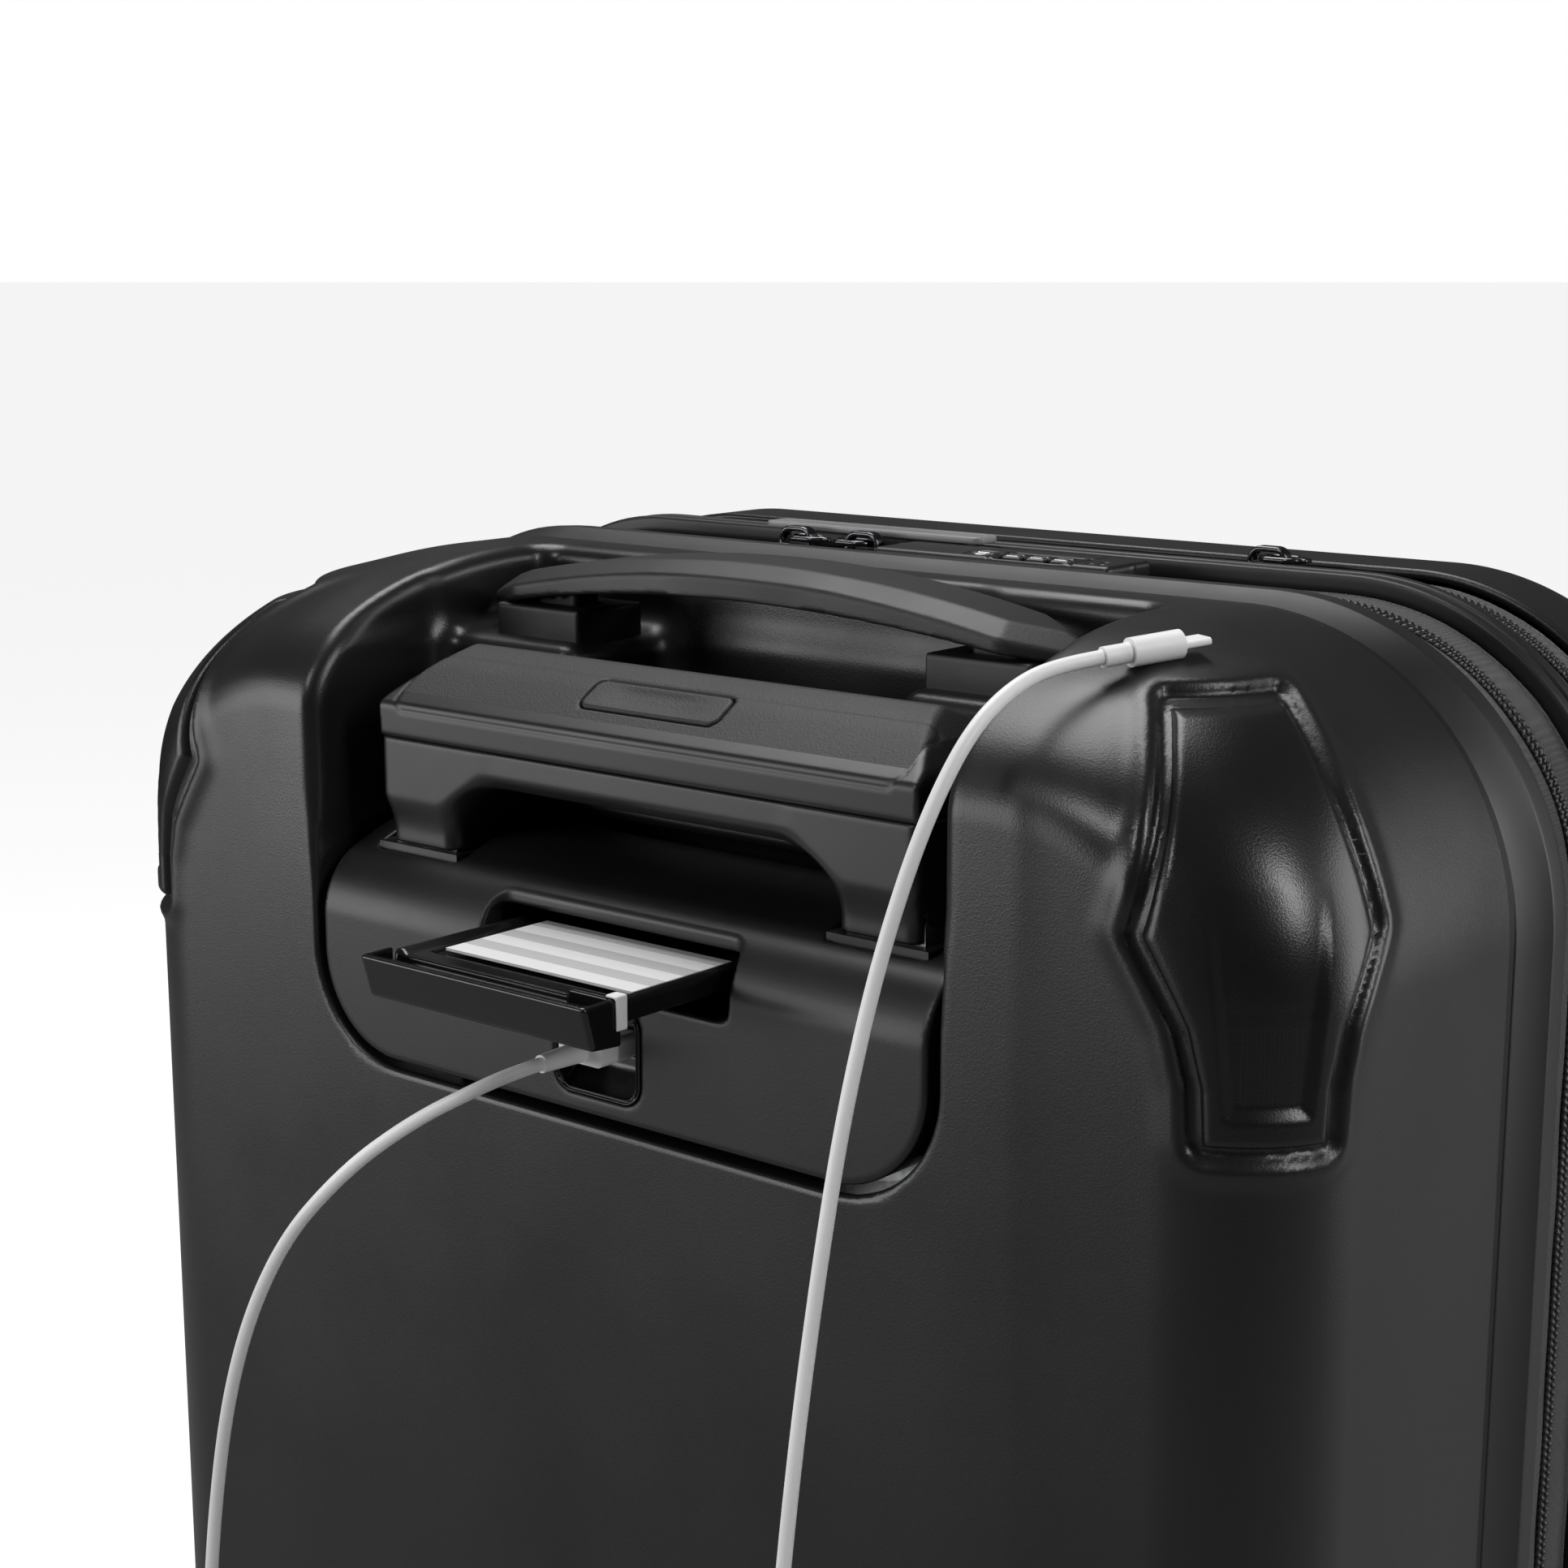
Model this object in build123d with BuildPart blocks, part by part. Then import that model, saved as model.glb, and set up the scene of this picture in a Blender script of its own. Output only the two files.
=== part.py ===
"""Hard-shell cabin suitcase with a charging port, a tag tray and a charging lead.

Millimetres, +Z up, X across the case, the trolley side faces -Y, the floor is z = 0.
"""
from build123d import *
import os
from math import pi, radians, sqrt, tan

# ---------------------------------------------------------------- driving sizes
HALF_W = 197.0          # half the shells' width
SHELL_LOW, SHELL_HIGH = 58.0, 545.0
CORNER_HIGH, CORNER_LOW = 75.0, 50.0     # corner radii seen from the front
WALL = 2.5
BACK = -100.0           # outer back plane
SEAM = 8.0              # back shell meets its trim
FRONT = 145.0           # outer front plane
SIDE_ROUND = 32.0       # rounding of the back's upright edges
TOP_DEEP, TOP_DROP = 85.0, 39.0          # quarter ellipse of the back's top edge
LOW_DEEP, LOW_DROP = 40.0, 30.0          # and of its bottom edge

TRIM_HALF_W, TRIM_LOW, TRIM_HIGH, TRIM_IN = 201.0, 54.0, 547.0, 7.0
BAND_HALF_W, BAND_LOW, BAND_HIGH = 196.0, 59.5, 541.5
BACK_TRIM_Y = (SEAM, 29.0)
BACK_TAPE_Y = (29.0, 43.5)
LID_TAPE_Y = (44.0, 60.0)
LID_TRIM_Y = (60.0, 71.0)
FRAME_TAPE_Y = (71.0, 84.8)
FRONT_TAPE_Y = (85.2, 95.0)
FRONT_SHELL_Y = 95.0
COIL_W, COIL_PROUD = 3.0, 1.2

WELL_HALF_W, WELL_FLOOR, WELL_DEEP = 107.0, 411.0, 50.0
WELL_LOW_DEEP, WELL_STEP = 62.0, 477.0   # the well is deeper below the ridge
SHELF_HIGH, SHELF_DEEP, FINGER_HALF_W, FINGER_FLOOR = 522.0, 92.0, 56.0, 492.0

EXPANSION, GUSSET_IN = 30.0, 16.0
LEG_X, LEG_Y, LEG = 76.0, BACK + 70.0, (16.0, 10.0)
PORT_LEAD_Y = BACK + 27.5

PANEL_HALF_W, PANEL_LOW, PANEL_HIGH, RIDGE_HIGH = 104.3, 413.0, 468.0, 475.0
TUBE_X, TUBE_Y = 79.5, BACK + 26.5
OUTER_TUBE, MIDDLE_TUBE, INNER_TUBE = (30.0, 26.0), (26.8, 22.8), (23.6, 19.6)
TUBE_WALL = 1.2

GRIP_HALF_W, GRIP_LOW, GRIP_SPLIT = 92.5, 490.0, 500.3
BUTTON_SIZE, BUTTON_HIGH, BUTTON_GAP, BUTTON_TRAVEL = (47.0, 11.0), 5.0, 0.35, 2.5

TRAY_Z = 457.5
PORT_Z = 432.0

WHEEL_R, WHEEL_W, AXLE_R, RUNNING = 25.0, 10.0, 3.0, 0.05
CASTER_X, TRAIL = 150.0, 12.0
CASTER_Y = {"back": -63.0, "front": 119.5}
MOUNT_SIZE, MOUNT_LOW, MOUNT_HIGH = (70.0, 47.0), 56.5, 92.0

LOCK_X, LOCK_Y, LOCK_Z = (-13.0, 67.0), (29.3, 43.2), (526.0, 547.5)
DIAL_X = (32.0, 40.0, 48.0)
DIAL_R, DIAL_W, DIAL_Z, SPINDLE_R = 5.6, 6.0, 542.3, 1.5

LEVER_MID, LEVER_SIZE = (-30.0, 54.7), (80.0, 10.6, 2.0)

SLIDER_SIZE, BRIDGE_HIGH = (12.0, 10.0, 1.8), 6.6
RING_SIZE, RING_HOLE, RING_THICK = (14.0, 10.0), (10.2, 6.2), 1.6
RING_OFFSET, RING_Z, BAR_R = 4.0, 3.4, 1.0   # the ring's middle and its round hinge bar

SCREW_R = 1.5
LEAD_D = 3.5
HAIR = 0.3              # working gap between pieces that move

os.makedirs("parts", exist_ok=True)


def save(builder, name):
    builder.part.label = name
    export_step(builder.part, "parts/" + name + ".step")


def at_y(y):
    """A plane across the case: sketch x is X, sketch y is Z."""
    return Plane(origin=(0, y, 0), x_dir=(1, 0, 0), z_dir=(0, -1, 0))


def outline(half_w, low, high, r_high, r_low):
    """A case outline, seen from the front."""
    with BuildSketch() as face:
        with BuildLine():
            FilletPolyline(
                (half_w, low), (half_w, high), (-half_w, high), (-half_w, low),
                radius=(r_low, r_high, r_high, r_low), close=True)
        make_face()
    return face.sketch


def ring(y_range, half_w, low, high, thick):
    """A closed band round the case."""
    r_high = CORNER_HIGH + half_w - HALF_W
    r_low = CORNER_LOW + half_w - HALF_W
    with BuildPart() as band:
        with BuildSketch(at_y(y_range[0])):
            add(outline(half_w, low, high, r_high, r_low))
            add(outline(half_w - thick, low + thick, high - thick, r_high - thick, r_low - thick),
                mode=Mode.SUBTRACT)
        extrude(amount=y_range[0] - y_range[1])
    return band.part


def coil_ring(y_range):
    """Half of a zip's coil, standing a little proud of its tape."""
    return ring(y_range, BAND_HALF_W + COIL_PROUD, BAND_LOW - COIL_PROUD, BAND_HIGH + COIL_PROUD, 3.0)


def shell_solid(inset, face_y, seam_y, steps, rounding):
    """A half case as a solid, its edge rounding set by three quarter ellipses."""
    side, (top_deep, top_drop), (low_deep, low_drop) = rounding
    sign = 1 if seam_y > face_y else -1
    reach = abs(seam_y - face_y)

    def drop(depth, deep, height):
        deep, height = deep - inset, height - inset
        left = max(deep - depth, 0.0)
        return height - height * sqrt(max(1 - (left / deep) ** 2, 0.0))

    with BuildPart() as solid:
        for depth in [step for step in steps if step < reach - inset] + [reach - inset]:
            sides = inset + drop(depth, side, side)
            with BuildSketch(at_y(face_y + sign * (inset + depth))):
                add(outline(
                    HALF_W - sides,
                    SHELL_LOW + inset + drop(depth, low_deep, low_drop),
                    SHELL_HIGH - inset - drop(depth, top_deep, top_drop),
                    CORNER_HIGH - sides, CORNER_LOW - sides * 0.6))
        loft(ruled=True)
    return solid.part


STEPS = (0.0, 1.5, 5.0, 11.0, 20.0, 32.0, 52.0, 82.0)
BACK_ROUND = (SIDE_ROUND, (TOP_DEEP, TOP_DROP), (LOW_DEEP, LOW_DROP))
FRONT_ROUND = (26.0, (27.0, 26.0), (27.0, 26.0))


# ---------------------------------------------------------------- casters
def mount_block(x, y, grow):
    with BuildPart() as block:
        with BuildSketch(Plane.XY.offset(MOUNT_LOW)):
            with Locations((x, y)):
                RectangleRounded(MOUNT_SIZE[0] + 2 * grow, MOUNT_SIZE[1] + 2 * grow, 22 + grow)
        extrude(amount=MOUNT_HIGH - MOUNT_LOW + grow)
    return block.part


def caster(name, x, y):
    """One swivelling pair of wheels: its mount in the shell, its fork and its wheels."""
    crown_low, pin_high, pin_r = 51.5, 84.0, 5.0
    hub = y - TRAIL
    screws = [(x + dx * 25, y + dy * 12) for dx in (-1, 1) for dy in (-1, 1)]
    with BuildPart() as mount:
        add(mount_block(x, y, 0))
        with BuildSketch(Plane.XY.offset(MOUNT_LOW)):
            with Locations((x, y)):
                Circle(pin_r + RUNNING)
        extrude(amount=pin_high + 1 - MOUNT_LOW, mode=Mode.SUBTRACT)
        with BuildSketch(Plane.XY.offset(MOUNT_HIGH)):
            with Locations((x, y)):
                RectangleRounded(MOUNT_SIZE[0] - 8, MOUNT_SIZE[1] - 8, 18)
                Circle(12, mode=Mode.SUBTRACT)
        extrude(amount=-26, mode=Mode.SUBTRACT)
        for radius, deep in ((3.5, 2.2), (SCREW_R, 9)):
            with BuildSketch(Plane.XY.offset(MOUNT_LOW)):
                with Locations(*screws):
                    Circle(radius)
            extrude(amount=deep, mode=Mode.SUBTRACT)
    save(mount, "wheel_mount_" + name)

    with BuildPart() as fork:
        with BuildSketch(Plane.XY.offset(crown_low)):
            with Locations((x, y)):
                Circle(21)
        extrude(amount=MOUNT_LOW - HAIR - crown_low)
        fillet(fork.edges().group_by(Axis.Z)[0], 1.5)
        with BuildSketch(Plane.XY.offset(crown_low)):
            with Locations((x, y)):
                Circle(pin_r)
        extrude(amount=pin_high - crown_low)
        with BuildSketch(Plane.YZ.offset(x)):
            with BuildLine():
                Polyline(
                    (y + 10, crown_low + 1), (y - 19, crown_low + 1), (hub - 9, WHEEL_R),
                    (hub, WHEEL_R - 9), (hub + 9, WHEEL_R - 2), close=True)
            make_face()
        extrude(amount=4, both=True)
        with BuildSketch(Plane.YZ.offset(x)):
            with Locations((hub, WHEEL_R)):
                Circle(AXLE_R)
        extrude(amount=4.5 + WHEEL_W - 2, both=True)
    save(fork, "fork_" + name)

    with BuildPart() as wheels:
        for side in (-1, 1):
            with BuildSketch(Plane.YZ.offset(x + side * 4.5)):
                with Locations((hub, WHEEL_R)):
                    Circle(WHEEL_R)
            extrude(amount=side * WHEEL_W)
        fillet(wheels.edges().filter_by(GeomType.CIRCLE), 2.5)
        with BuildSketch(Plane.YZ.offset(x)):
            with Locations((hub, WHEEL_R)):
                Circle(AXLE_R + RUNNING)
        extrude(amount=4.5 + WHEEL_W - 1.5, both=True, mode=Mode.SUBTRACT)
    save(wheels, "twin_wheel_" + name)


CORNERS = [
    (end + "_" + side, sign * CASTER_X, y)
    for end, y in CASTER_Y.items()
    for side, sign in (("left", -1), ("right", 1))]

for corner_name, corner_x, corner_y in CORNERS:
    caster(corner_name, corner_x, corner_y)

for end, end_y in CASTER_Y.items():
    spots = [(side * CASTER_X + dx * 25, end_y + dy * 12)
             for side in (-1, 1) for dx in (-1, 1) for dy in (-1, 1)]
    with BuildPart() as screw_set:
        for radius, high in ((3.3, 2.0), (SCREW_R, 9.0)):
            with BuildSketch(Plane.XY.offset(MOUNT_LOW + 0.2)):
                with Locations(*spots):
                    Circle(radius)
            extrude(amount=high - 0.2)
    save(screw_set, "mount_screws_" + end)


# ---------------------------------------------------------------- back half of the case
def box(x, y, z, mode=Mode.ADD):
    """A block given by its (low, high) in X, Y and Z."""
    with Locations(((x[0] + x[1]) / 2, (y[0] + y[1]) / 2, (z[0] + z[1]) / 2)):
        Box(x[1] - x[0], y[1] - y[0], z[1] - z[0], mode=mode)


def around(x, y, size, grow, z, mode=Mode.ADD):
    """A block round an upright line, grown by a clearance."""
    half_x, half_y = size[0] / 2 + grow, size[1] / 2 + grow
    box((x - half_x, x + half_x), (y - half_y, y + half_y), z, mode)


def well(grow):
    """The trolley well as a solid: a deep front part, two shelves and a finger pocket."""
    w, f = WELL_HALF_W + grow, FINGER_HALF_W + grow
    with BuildPart() as solid:
        box((-w, w), (BACK - 5, BACK + WELL_DEEP + grow), (WELL_FLOOR - grow, 560))
        box((-w, w), (BACK - 5, BACK + WELL_LOW_DEEP + grow), (WELL_FLOOR - grow, WELL_STEP + grow))
        box((-f, f), (BACK, BACK + SHELF_DEEP + grow), (FINGER_FLOOR - grow, 560))
        box((-w, w), (BACK, BACK + SHELF_DEEP + grow), (SHELF_HIGH - grow, 560))
    return solid.part


back_outer = shell_solid(0, BACK, SEAM, STEPS, BACK_ROUND)
back_inner = shell_solid(WALL, BACK, SEAM + WALL, STEPS, BACK_ROUND)

with BuildPart() as back_shell:
    add(back_outer)
    add(back_inner, mode=Mode.SUBTRACT)
    with BuildPart(mode=Mode.PRIVATE) as tub:
        add(well(WALL))
        add(back_outer, mode=Mode.INTERSECT)
    add(tub.part)
    add(well(0), mode=Mode.SUBTRACT)
    for sign in (-1, 1):
        around(sign * TUBE_X, TUBE_Y, OUTER_TUBE, 0.4, (WELL_FLOOR - 6, WELL_FLOOR + 2), Mode.SUBTRACT)
        around(sign * LEG_X, LEG_Y, LEG, 0.4, (SHELF_HIGH - 6, SHELF_HIGH + 2), Mode.SUBTRACT)
    around(0, PORT_LEAD_Y, (4, 4), 0.6, (WELL_FLOOR - 6, WELL_FLOOR + 2), Mode.SUBTRACT)
    for corner_name, corner_x, corner_y in CORNERS:
        if corner_y < 0:
            add(mount_block(corner_x, corner_y, 0.1), mode=Mode.SUBTRACT)
save(back_shell, "back_shell")

with BuildPart() as back_trim:
    add(ring(BACK_TRIM_Y, TRIM_HALF_W, TRIM_LOW, TRIM_HIGH, TRIM_IN))
save(back_trim, "back_trim")

with BuildPart() as back_tape:
    add(ring(BACK_TAPE_Y, BAND_HALF_W, BAND_LOW, BAND_HIGH, 2.0))
    add(coil_ring((BACK_TAPE_Y[1] - COIL_W, BACK_TAPE_Y[1])))
    box((LOCK_X[0] - 0.1, LOCK_X[1] + 0.1), (LOCK_Y[0] - 0.1, BACK_TAPE_Y[1] + 1), (520, 548),
        mode=Mode.SUBTRACT)
save(back_tape, "back_zip_tape")


def bumper(side, name):
    """A coffin-shaped guard that follows the shell's upper corner."""
    slope = sqrt(0.5)
    plane = Plane(origin=(side * (HALF_W - 18), BACK + 18, 0), x_dir=(slope, side * slope, 0),
                  z_dir=(side * slope, -slope, 0))
    with BuildPart() as guard:
        add(shell_solid(-2.0, BACK, SEAM, STEPS, BACK_ROUND))
        with BuildPart(mode=Mode.PRIVATE) as prism:
            with BuildSketch(plane):
                with BuildLine():
                    Line((-13, 444), (13, 444))
                    Line((13, 444), (13.5, 455))
                    Spline((13.5, 455), (17, 471), (25, 487.5))
                    Line((25, 487.5), (14, 531))
                    Line((14, 531), (-14, 531))
                    Line((-14, 531), (-25, 487.5))
                    Spline((-25, 487.5), (-17, 471), (-13.5, 455))
                    Line((-13.5, 455), (-13, 444))
                make_face()
            extrude(amount=60, both=True)
        add(prism.part, mode=Mode.INTERSECT)
        add(shell_solid(-0.05, BACK, SEAM, STEPS, BACK_ROUND), mode=Mode.SUBTRACT)
        box((-250, 250), (SEAM - 12, 200), (0, 600), mode=Mode.SUBTRACT)
    save(guard, name)


bumper(-1, "corner_guard_left")
bumper(1, "corner_guard_right")

with BuildPart() as lining:
    with BuildSketch(at_y(BACK + 44)):
        add(outline(HALF_W - 9, 97, 404, 12, 12))
    extrude(amount=1.5)
save(lining, "tube_lining")


# ---------------------------------------------------------------- lid
with BuildPart() as lid_tape:
    add(ring(LID_TAPE_Y, BAND_HALF_W, BAND_LOW, BAND_HIGH, 2.0))
    add(coil_ring((LID_TAPE_Y[0], LID_TAPE_Y[0] + COIL_W)))
save(lid_tape, "lid_zip_tape")

with BuildPart() as lid_trim:
    add(ring(LID_TRIM_Y, TRIM_HALF_W, TRIM_LOW, TRIM_HIGH, TRIM_IN))
save(lid_trim, "lid_trim")

with BuildPart() as frame_tape:
    add(ring(FRAME_TAPE_Y, BAND_HALF_W, BAND_LOW, BAND_HIGH, 2.0))
    add(coil_ring((FRAME_TAPE_Y[1] - COIL_W, FRAME_TAPE_Y[1])))
save(frame_tape, "expander_zip_rear")

with BuildPart() as front_tape:
    add(ring(FRONT_TAPE_Y, BAND_HALF_W, BAND_LOW, BAND_HIGH, 2.0))
    add(coil_ring((FRONT_TAPE_Y[0], FRONT_TAPE_Y[0] + COIL_W)))
save(front_tape, "expander_zip_front")

with BuildPart() as gusset:
    add(ring((LID_TRIM_Y[1], FRONT_SHELL_Y + EXPANSION + 2), HALF_W - GUSSET_IN,
             SHELL_LOW + GUSSET_IN, SHELL_HIGH - GUSSET_IN, 1.0))
    for corner_name, corner_x, corner_y in CORNERS:
        if corner_y > 0:
            box((corner_x - 36, corner_x + 36), (corner_y - 24.5, 200),
                (MOUNT_LOW, MOUNT_HIGH + 1), mode=Mode.SUBTRACT)
    flange_in = GUSSET_IN - (HALF_W - BAND_HALF_W) - 1.5
    add(ring((LID_TRIM_Y[1], LID_TRIM_Y[1] + 1.0), BAND_HALF_W - 2.0, BAND_LOW + 2.0,
             BAND_HIGH - 2.0, flange_in))
save(gusset, "expander_gusset")

with BuildPart() as front_shell:
    add(shell_solid(0, FRONT, FRONT_SHELL_Y, (0.0, 1.5, 4.0, 9.0, 16.0, 26.0), FRONT_ROUND))
    add(shell_solid(WALL, FRONT, FRONT_SHELL_Y - WALL, (0.0, 1.5, 4.0, 9.0, 16.0, 26.0),
                    FRONT_ROUND), mode=Mode.SUBTRACT)
    for corner_name, corner_x, corner_y in CORNERS:
        if corner_y > 0:
            add(mount_block(corner_x, corner_y, 0.1), mode=Mode.SUBTRACT)
save(front_shell, "front_shell")


# ---------------------------------------------------------------- trolley housing, tray and port
def profile(points, half_w):
    """A bar across the case from its (distance behind the back plane, height) outline."""
    with BuildPart() as bar:
        with BuildSketch(Plane.YZ):
            with BuildLine():
                Polyline(*[(BACK + off, z) for off, z in points], close=True)
            make_face()
        extrude(amount=half_w, both=True)
    return bar.part


SLOT_X, SLOT_Z, MOUTH_LOW, SLOT_DEEP = (-42.0, 44.0), (450.0, 461.8), 446.4, 58.0
PORT_HALF_W, PORT_LOW, PORT_HIGH, PORT_DEEP = 15.0, 418.0, 444.0, 10.0

with BuildPart() as housing:
    with BuildSketch(Plane.YZ):
        with BuildLine():
            FilletPolyline(
                (BACK, PANEL_LOW), (BACK, PANEL_HIGH), (BACK + 30, RIDGE_HIGH), radius=12)
            Polyline(
                (BACK + 30, RIDGE_HIGH), (BACK + 48, RIDGE_HIGH), (BACK + 48, RIDGE_HIGH - 3),
                (BACK + 30, RIDGE_HIGH - 3), (BACK + 13, PANEL_HIGH - 3.5),
                (BACK + 3, PANEL_HIGH - 14), (BACK + 3, PANEL_LOW), (BACK, PANEL_LOW))
        make_face()
    extrude(amount=PANEL_HALF_W, both=True)
    for sign in (-1, 1):
        around(sign * TUBE_X, TUBE_Y, OUTER_TUBE, 2.4, (WELL_FLOOR + 2, PANEL_HIGH + 1))
    box((SLOT_X[0] - 2, SLOT_X[1] + 2), (BACK + 2, BACK + SLOT_DEEP + 2), (SLOT_Z[0] - 2, SLOT_Z[1] + 2))
    box((-PORT_HALF_W - 2, PORT_HALF_W + 2), (BACK + 2, BACK + PORT_DEEP + 2),
        (PORT_LOW - 2, SLOT_Z[0]))
    for sign in (-1, 1):
        around(sign * TUBE_X, TUBE_Y, OUTER_TUBE, 0.2, (WELL_FLOOR, 500), Mode.SUBTRACT)
        around(sign * TUBE_X, TUBE_Y, OUTER_TUBE, 0.9, (466, 500), Mode.SUBTRACT)
    box(SLOT_X, (BACK + 1, BACK + SLOT_DEEP), SLOT_Z, mode=Mode.SUBTRACT)
    box(SLOT_X, (BACK - 1, BACK + 14), (MOUTH_LOW, SLOT_Z[1]), mode=Mode.SUBTRACT)
    box(SLOT_X, (BACK - 1, BACK + 8), (MOUTH_LOW, 480), mode=Mode.SUBTRACT)
    with BuildSketch(at_y(BACK)):
        with Locations((0, (PORT_LOW + PORT_HIGH) / 2)):
            RectangleRounded(2 * PORT_HALF_W, PORT_HIGH - PORT_LOW, 6)
    extrude(amount=-PORT_DEEP, mode=Mode.SUBTRACT)
    box((-7.5, 7.5), (BACK, BACK + 15), (PORT_Z - 3.6, PORT_Z + 3.6), mode=Mode.SUBTRACT)
    with BuildPart(mode=Mode.PRIVATE) as front_outline:
        with BuildSketch(at_y(BACK - 5)):
            with BuildLine():
                FilletPolyline(
                    (-PANEL_HALF_W, 500), (-PANEL_HALF_W, PANEL_LOW), (PANEL_HALF_W, PANEL_LOW),
                    (PANEL_HALF_W, 500), radius=28)
                Line((PANEL_HALF_W, 500), (-PANEL_HALF_W, 500))
            make_face()
        extrude(amount=-80)
    add(front_outline.part, mode=Mode.INTERSECT)
save(housing, "trolley_housing")

with BuildPart() as port_bezel:
    for shrink, deep, start, mode in ((0.2, 9.8, 0, Mode.ADD), (1.4, 8.2, 0, Mode.SUBTRACT)):
        with BuildSketch(at_y(BACK + start)):
            with Locations((0, (PORT_LOW + PORT_HIGH) / 2)):
                RectangleRounded(2 * (PORT_HALF_W - shrink), PORT_HIGH - PORT_LOW - 2 * shrink, 6 - shrink)
        extrude(amount=-deep, mode=mode)
    box((-7.6, 7.6), (BACK, BACK + 12), (PORT_Z - 3.7, PORT_Z + 3.7), mode=Mode.SUBTRACT)
save(port_bezel, "port_bezel")

with BuildPart() as port_socket:
    box((-7.3, 7.3), (BACK + 8, BACK + 24), (PORT_Z - 3.4, PORT_Z + 3.4))
    box((-6.4, 6.4), (BACK + 7, BACK + 22), (PORT_Z - 2.5, PORT_Z + 2.5), mode=Mode.SUBTRACT)
    box((-5.4, 5.4), (BACK + 11, BACK + 22), (PORT_Z + 0.2, PORT_Z + 1.6))
save(port_socket, "port_socket")

with BuildPart() as port_lead:
    with BuildSketch(Plane.XY.offset(300)):
        with Locations((0, PORT_LEAD_Y)):
            Circle(2)
    extrude(amount=PORT_Z + 2 - 300)
    around(0, PORT_LEAD_Y, (15, 7), 0, (270, 301))
save(port_lead, "bank_lead")

TRAY_TIP, TRAY_TRAVEL = -45.0, 43.0
with BuildPart() as tray:
    box((-38.2, 39.2), (BACK + TRAY_TIP, BACK + TRAY_TIP + 13), (447.0, 459.0))
    box((-37.0, 38.0), (BACK + TRAY_TIP + 2, BACK + TRAY_TIP + 10), (452.0, 460.0), mode=Mode.SUBTRACT)
    box((-38.2, 39.2), (BACK + TRAY_TIP + 12.9, BACK + 12), (452.0, TRAY_Z))
    chamfer(tray.edges().filter_by(Axis.X).group_by(Axis.Y)[0], 1.2)
save(tray, "tag_tray")

with BuildPart() as card:
    box((-28.0, 36.0), (BACK + TRAY_TIP + 20, BACK + 11), (TRAY_Z, TRAY_Z + 0.7))
save(card, "tag_card")


# ---------------------------------------------------------------- telescopic tubes and grip
def tube_pair(outer, wall, z, name):
    with BuildPart() as pair:
        for side in (-1, 1):
            around(side * TUBE_X, TUBE_Y, outer, 0, z)
            around(side * TUBE_X, TUBE_Y, outer, -wall, (z[0] - 1, z[1] + 1), Mode.SUBTRACT)
    save(pair, name)


TUBE_LOW, TUBE_HIGH = 76.0, 466.0
tube_pair(OUTER_TUBE, TUBE_WALL, (TUBE_LOW, TUBE_HIGH), "outer_tubes")
tube_pair(MIDDLE_TUBE, TUBE_WALL, (TUBE_LOW + 4, TUBE_HIGH + 0.4), "middle_tubes")
tube_pair(INNER_TUBE, TUBE_WALL, (TUBE_LOW + 8, 494.0), "inner_tubes")
tube_pair((30.6, 26.6), 3.1, (TUBE_HIGH + 0.4, TUBE_HIGH + 4), "tube_collars")

with BuildPart() as bridge:
    box((-TUBE_X + 15, TUBE_X - 15), (TUBE_Y - 9, TUBE_Y + 9), (110, 128))
    box((-TUBE_X + 19, TUBE_X - 19), (TUBE_Y - 7, TUBE_Y + 10), (113, 125), mode=Mode.SUBTRACT)
save(bridge, "tube_bridge")

LEG_LOW, FLARE = TUBE_HIGH + 4.3, 18.0
with BuildPart() as grip_base:
    add(profile([(15, GRIP_LOW), (12, GRIP_LOW + 3), (12, GRIP_SPLIT), (49.6, GRIP_SPLIT),
                 (49.6, 493), (47, GRIP_LOW)], GRIP_HALF_W))
    for sign in (-1, 1):
        with BuildSketch(at_y(BACK + 39)):
            inner = sign * (TUBE_X - 13.2)
            with BuildLine():
                Polyline(
                    (inner, LEG_LOW), (sign * (TUBE_X + 12.4), LEG_LOW), (sign * GRIP_HALF_W, GRIP_LOW + 2),
                    (inner - sign * FLARE, GRIP_LOW + 2), (inner - sign * 4, GRIP_LOW - 8), close=True)
            make_face()
        extrude(amount=25)
        around(sign * TUBE_X, TUBE_Y, INNER_TUBE, 0, (LEG_LOW - 1, 494), Mode.SUBTRACT)
    box((-83, 83), (TUBE_Y - 6, TUBE_Y + 6), (494, 501), mode=Mode.SUBTRACT)
save(grip_base, "grip_base")

slope = (BACK + 23.5, 517.55)
button_plane = Plane(origin=(0, slope[0], slope[1]), x_dir=(1, 0, 0), z_dir=(0, -0.508, 0.861))
with BuildPart() as grip_top:
    add(profile([(12, GRIP_SPLIT), (11.5, 509.4), (18.5, 514.6), (28.5, 520.5), (37, 524),
                 (45, 521), (49.6, 514), (49.6, GRIP_SPLIT)], GRIP_HALF_W))
    chamfer(grip_top.faces().filter_by(Axis.X).edges().filter_by(Axis.Z, reverse=True)
            .group_by(Axis.Z)[-1], 2)
    box((-88, 88), (BACK + 17, BACK + 46), (GRIP_SPLIT - 1, 507), mode=Mode.SUBTRACT)
    with BuildSketch(button_plane):
        RectangleRounded(BUTTON_SIZE[0] + 2 * BUTTON_GAP, BUTTON_SIZE[1] + 2 * BUTTON_GAP, 2.4)
    extrude(amount=-(BUTTON_HIGH + BUTTON_TRAVEL + 0.8), mode=Mode.SUBTRACT)
save(grip_top, "grip_top")

with BuildPart() as button:
    with BuildSketch(button_plane):
        RectangleRounded(BUTTON_SIZE[0], BUTTON_SIZE[1], 2.2)
    extrude(amount=-BUTTON_HIGH)
save(button, "release_button")

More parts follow.
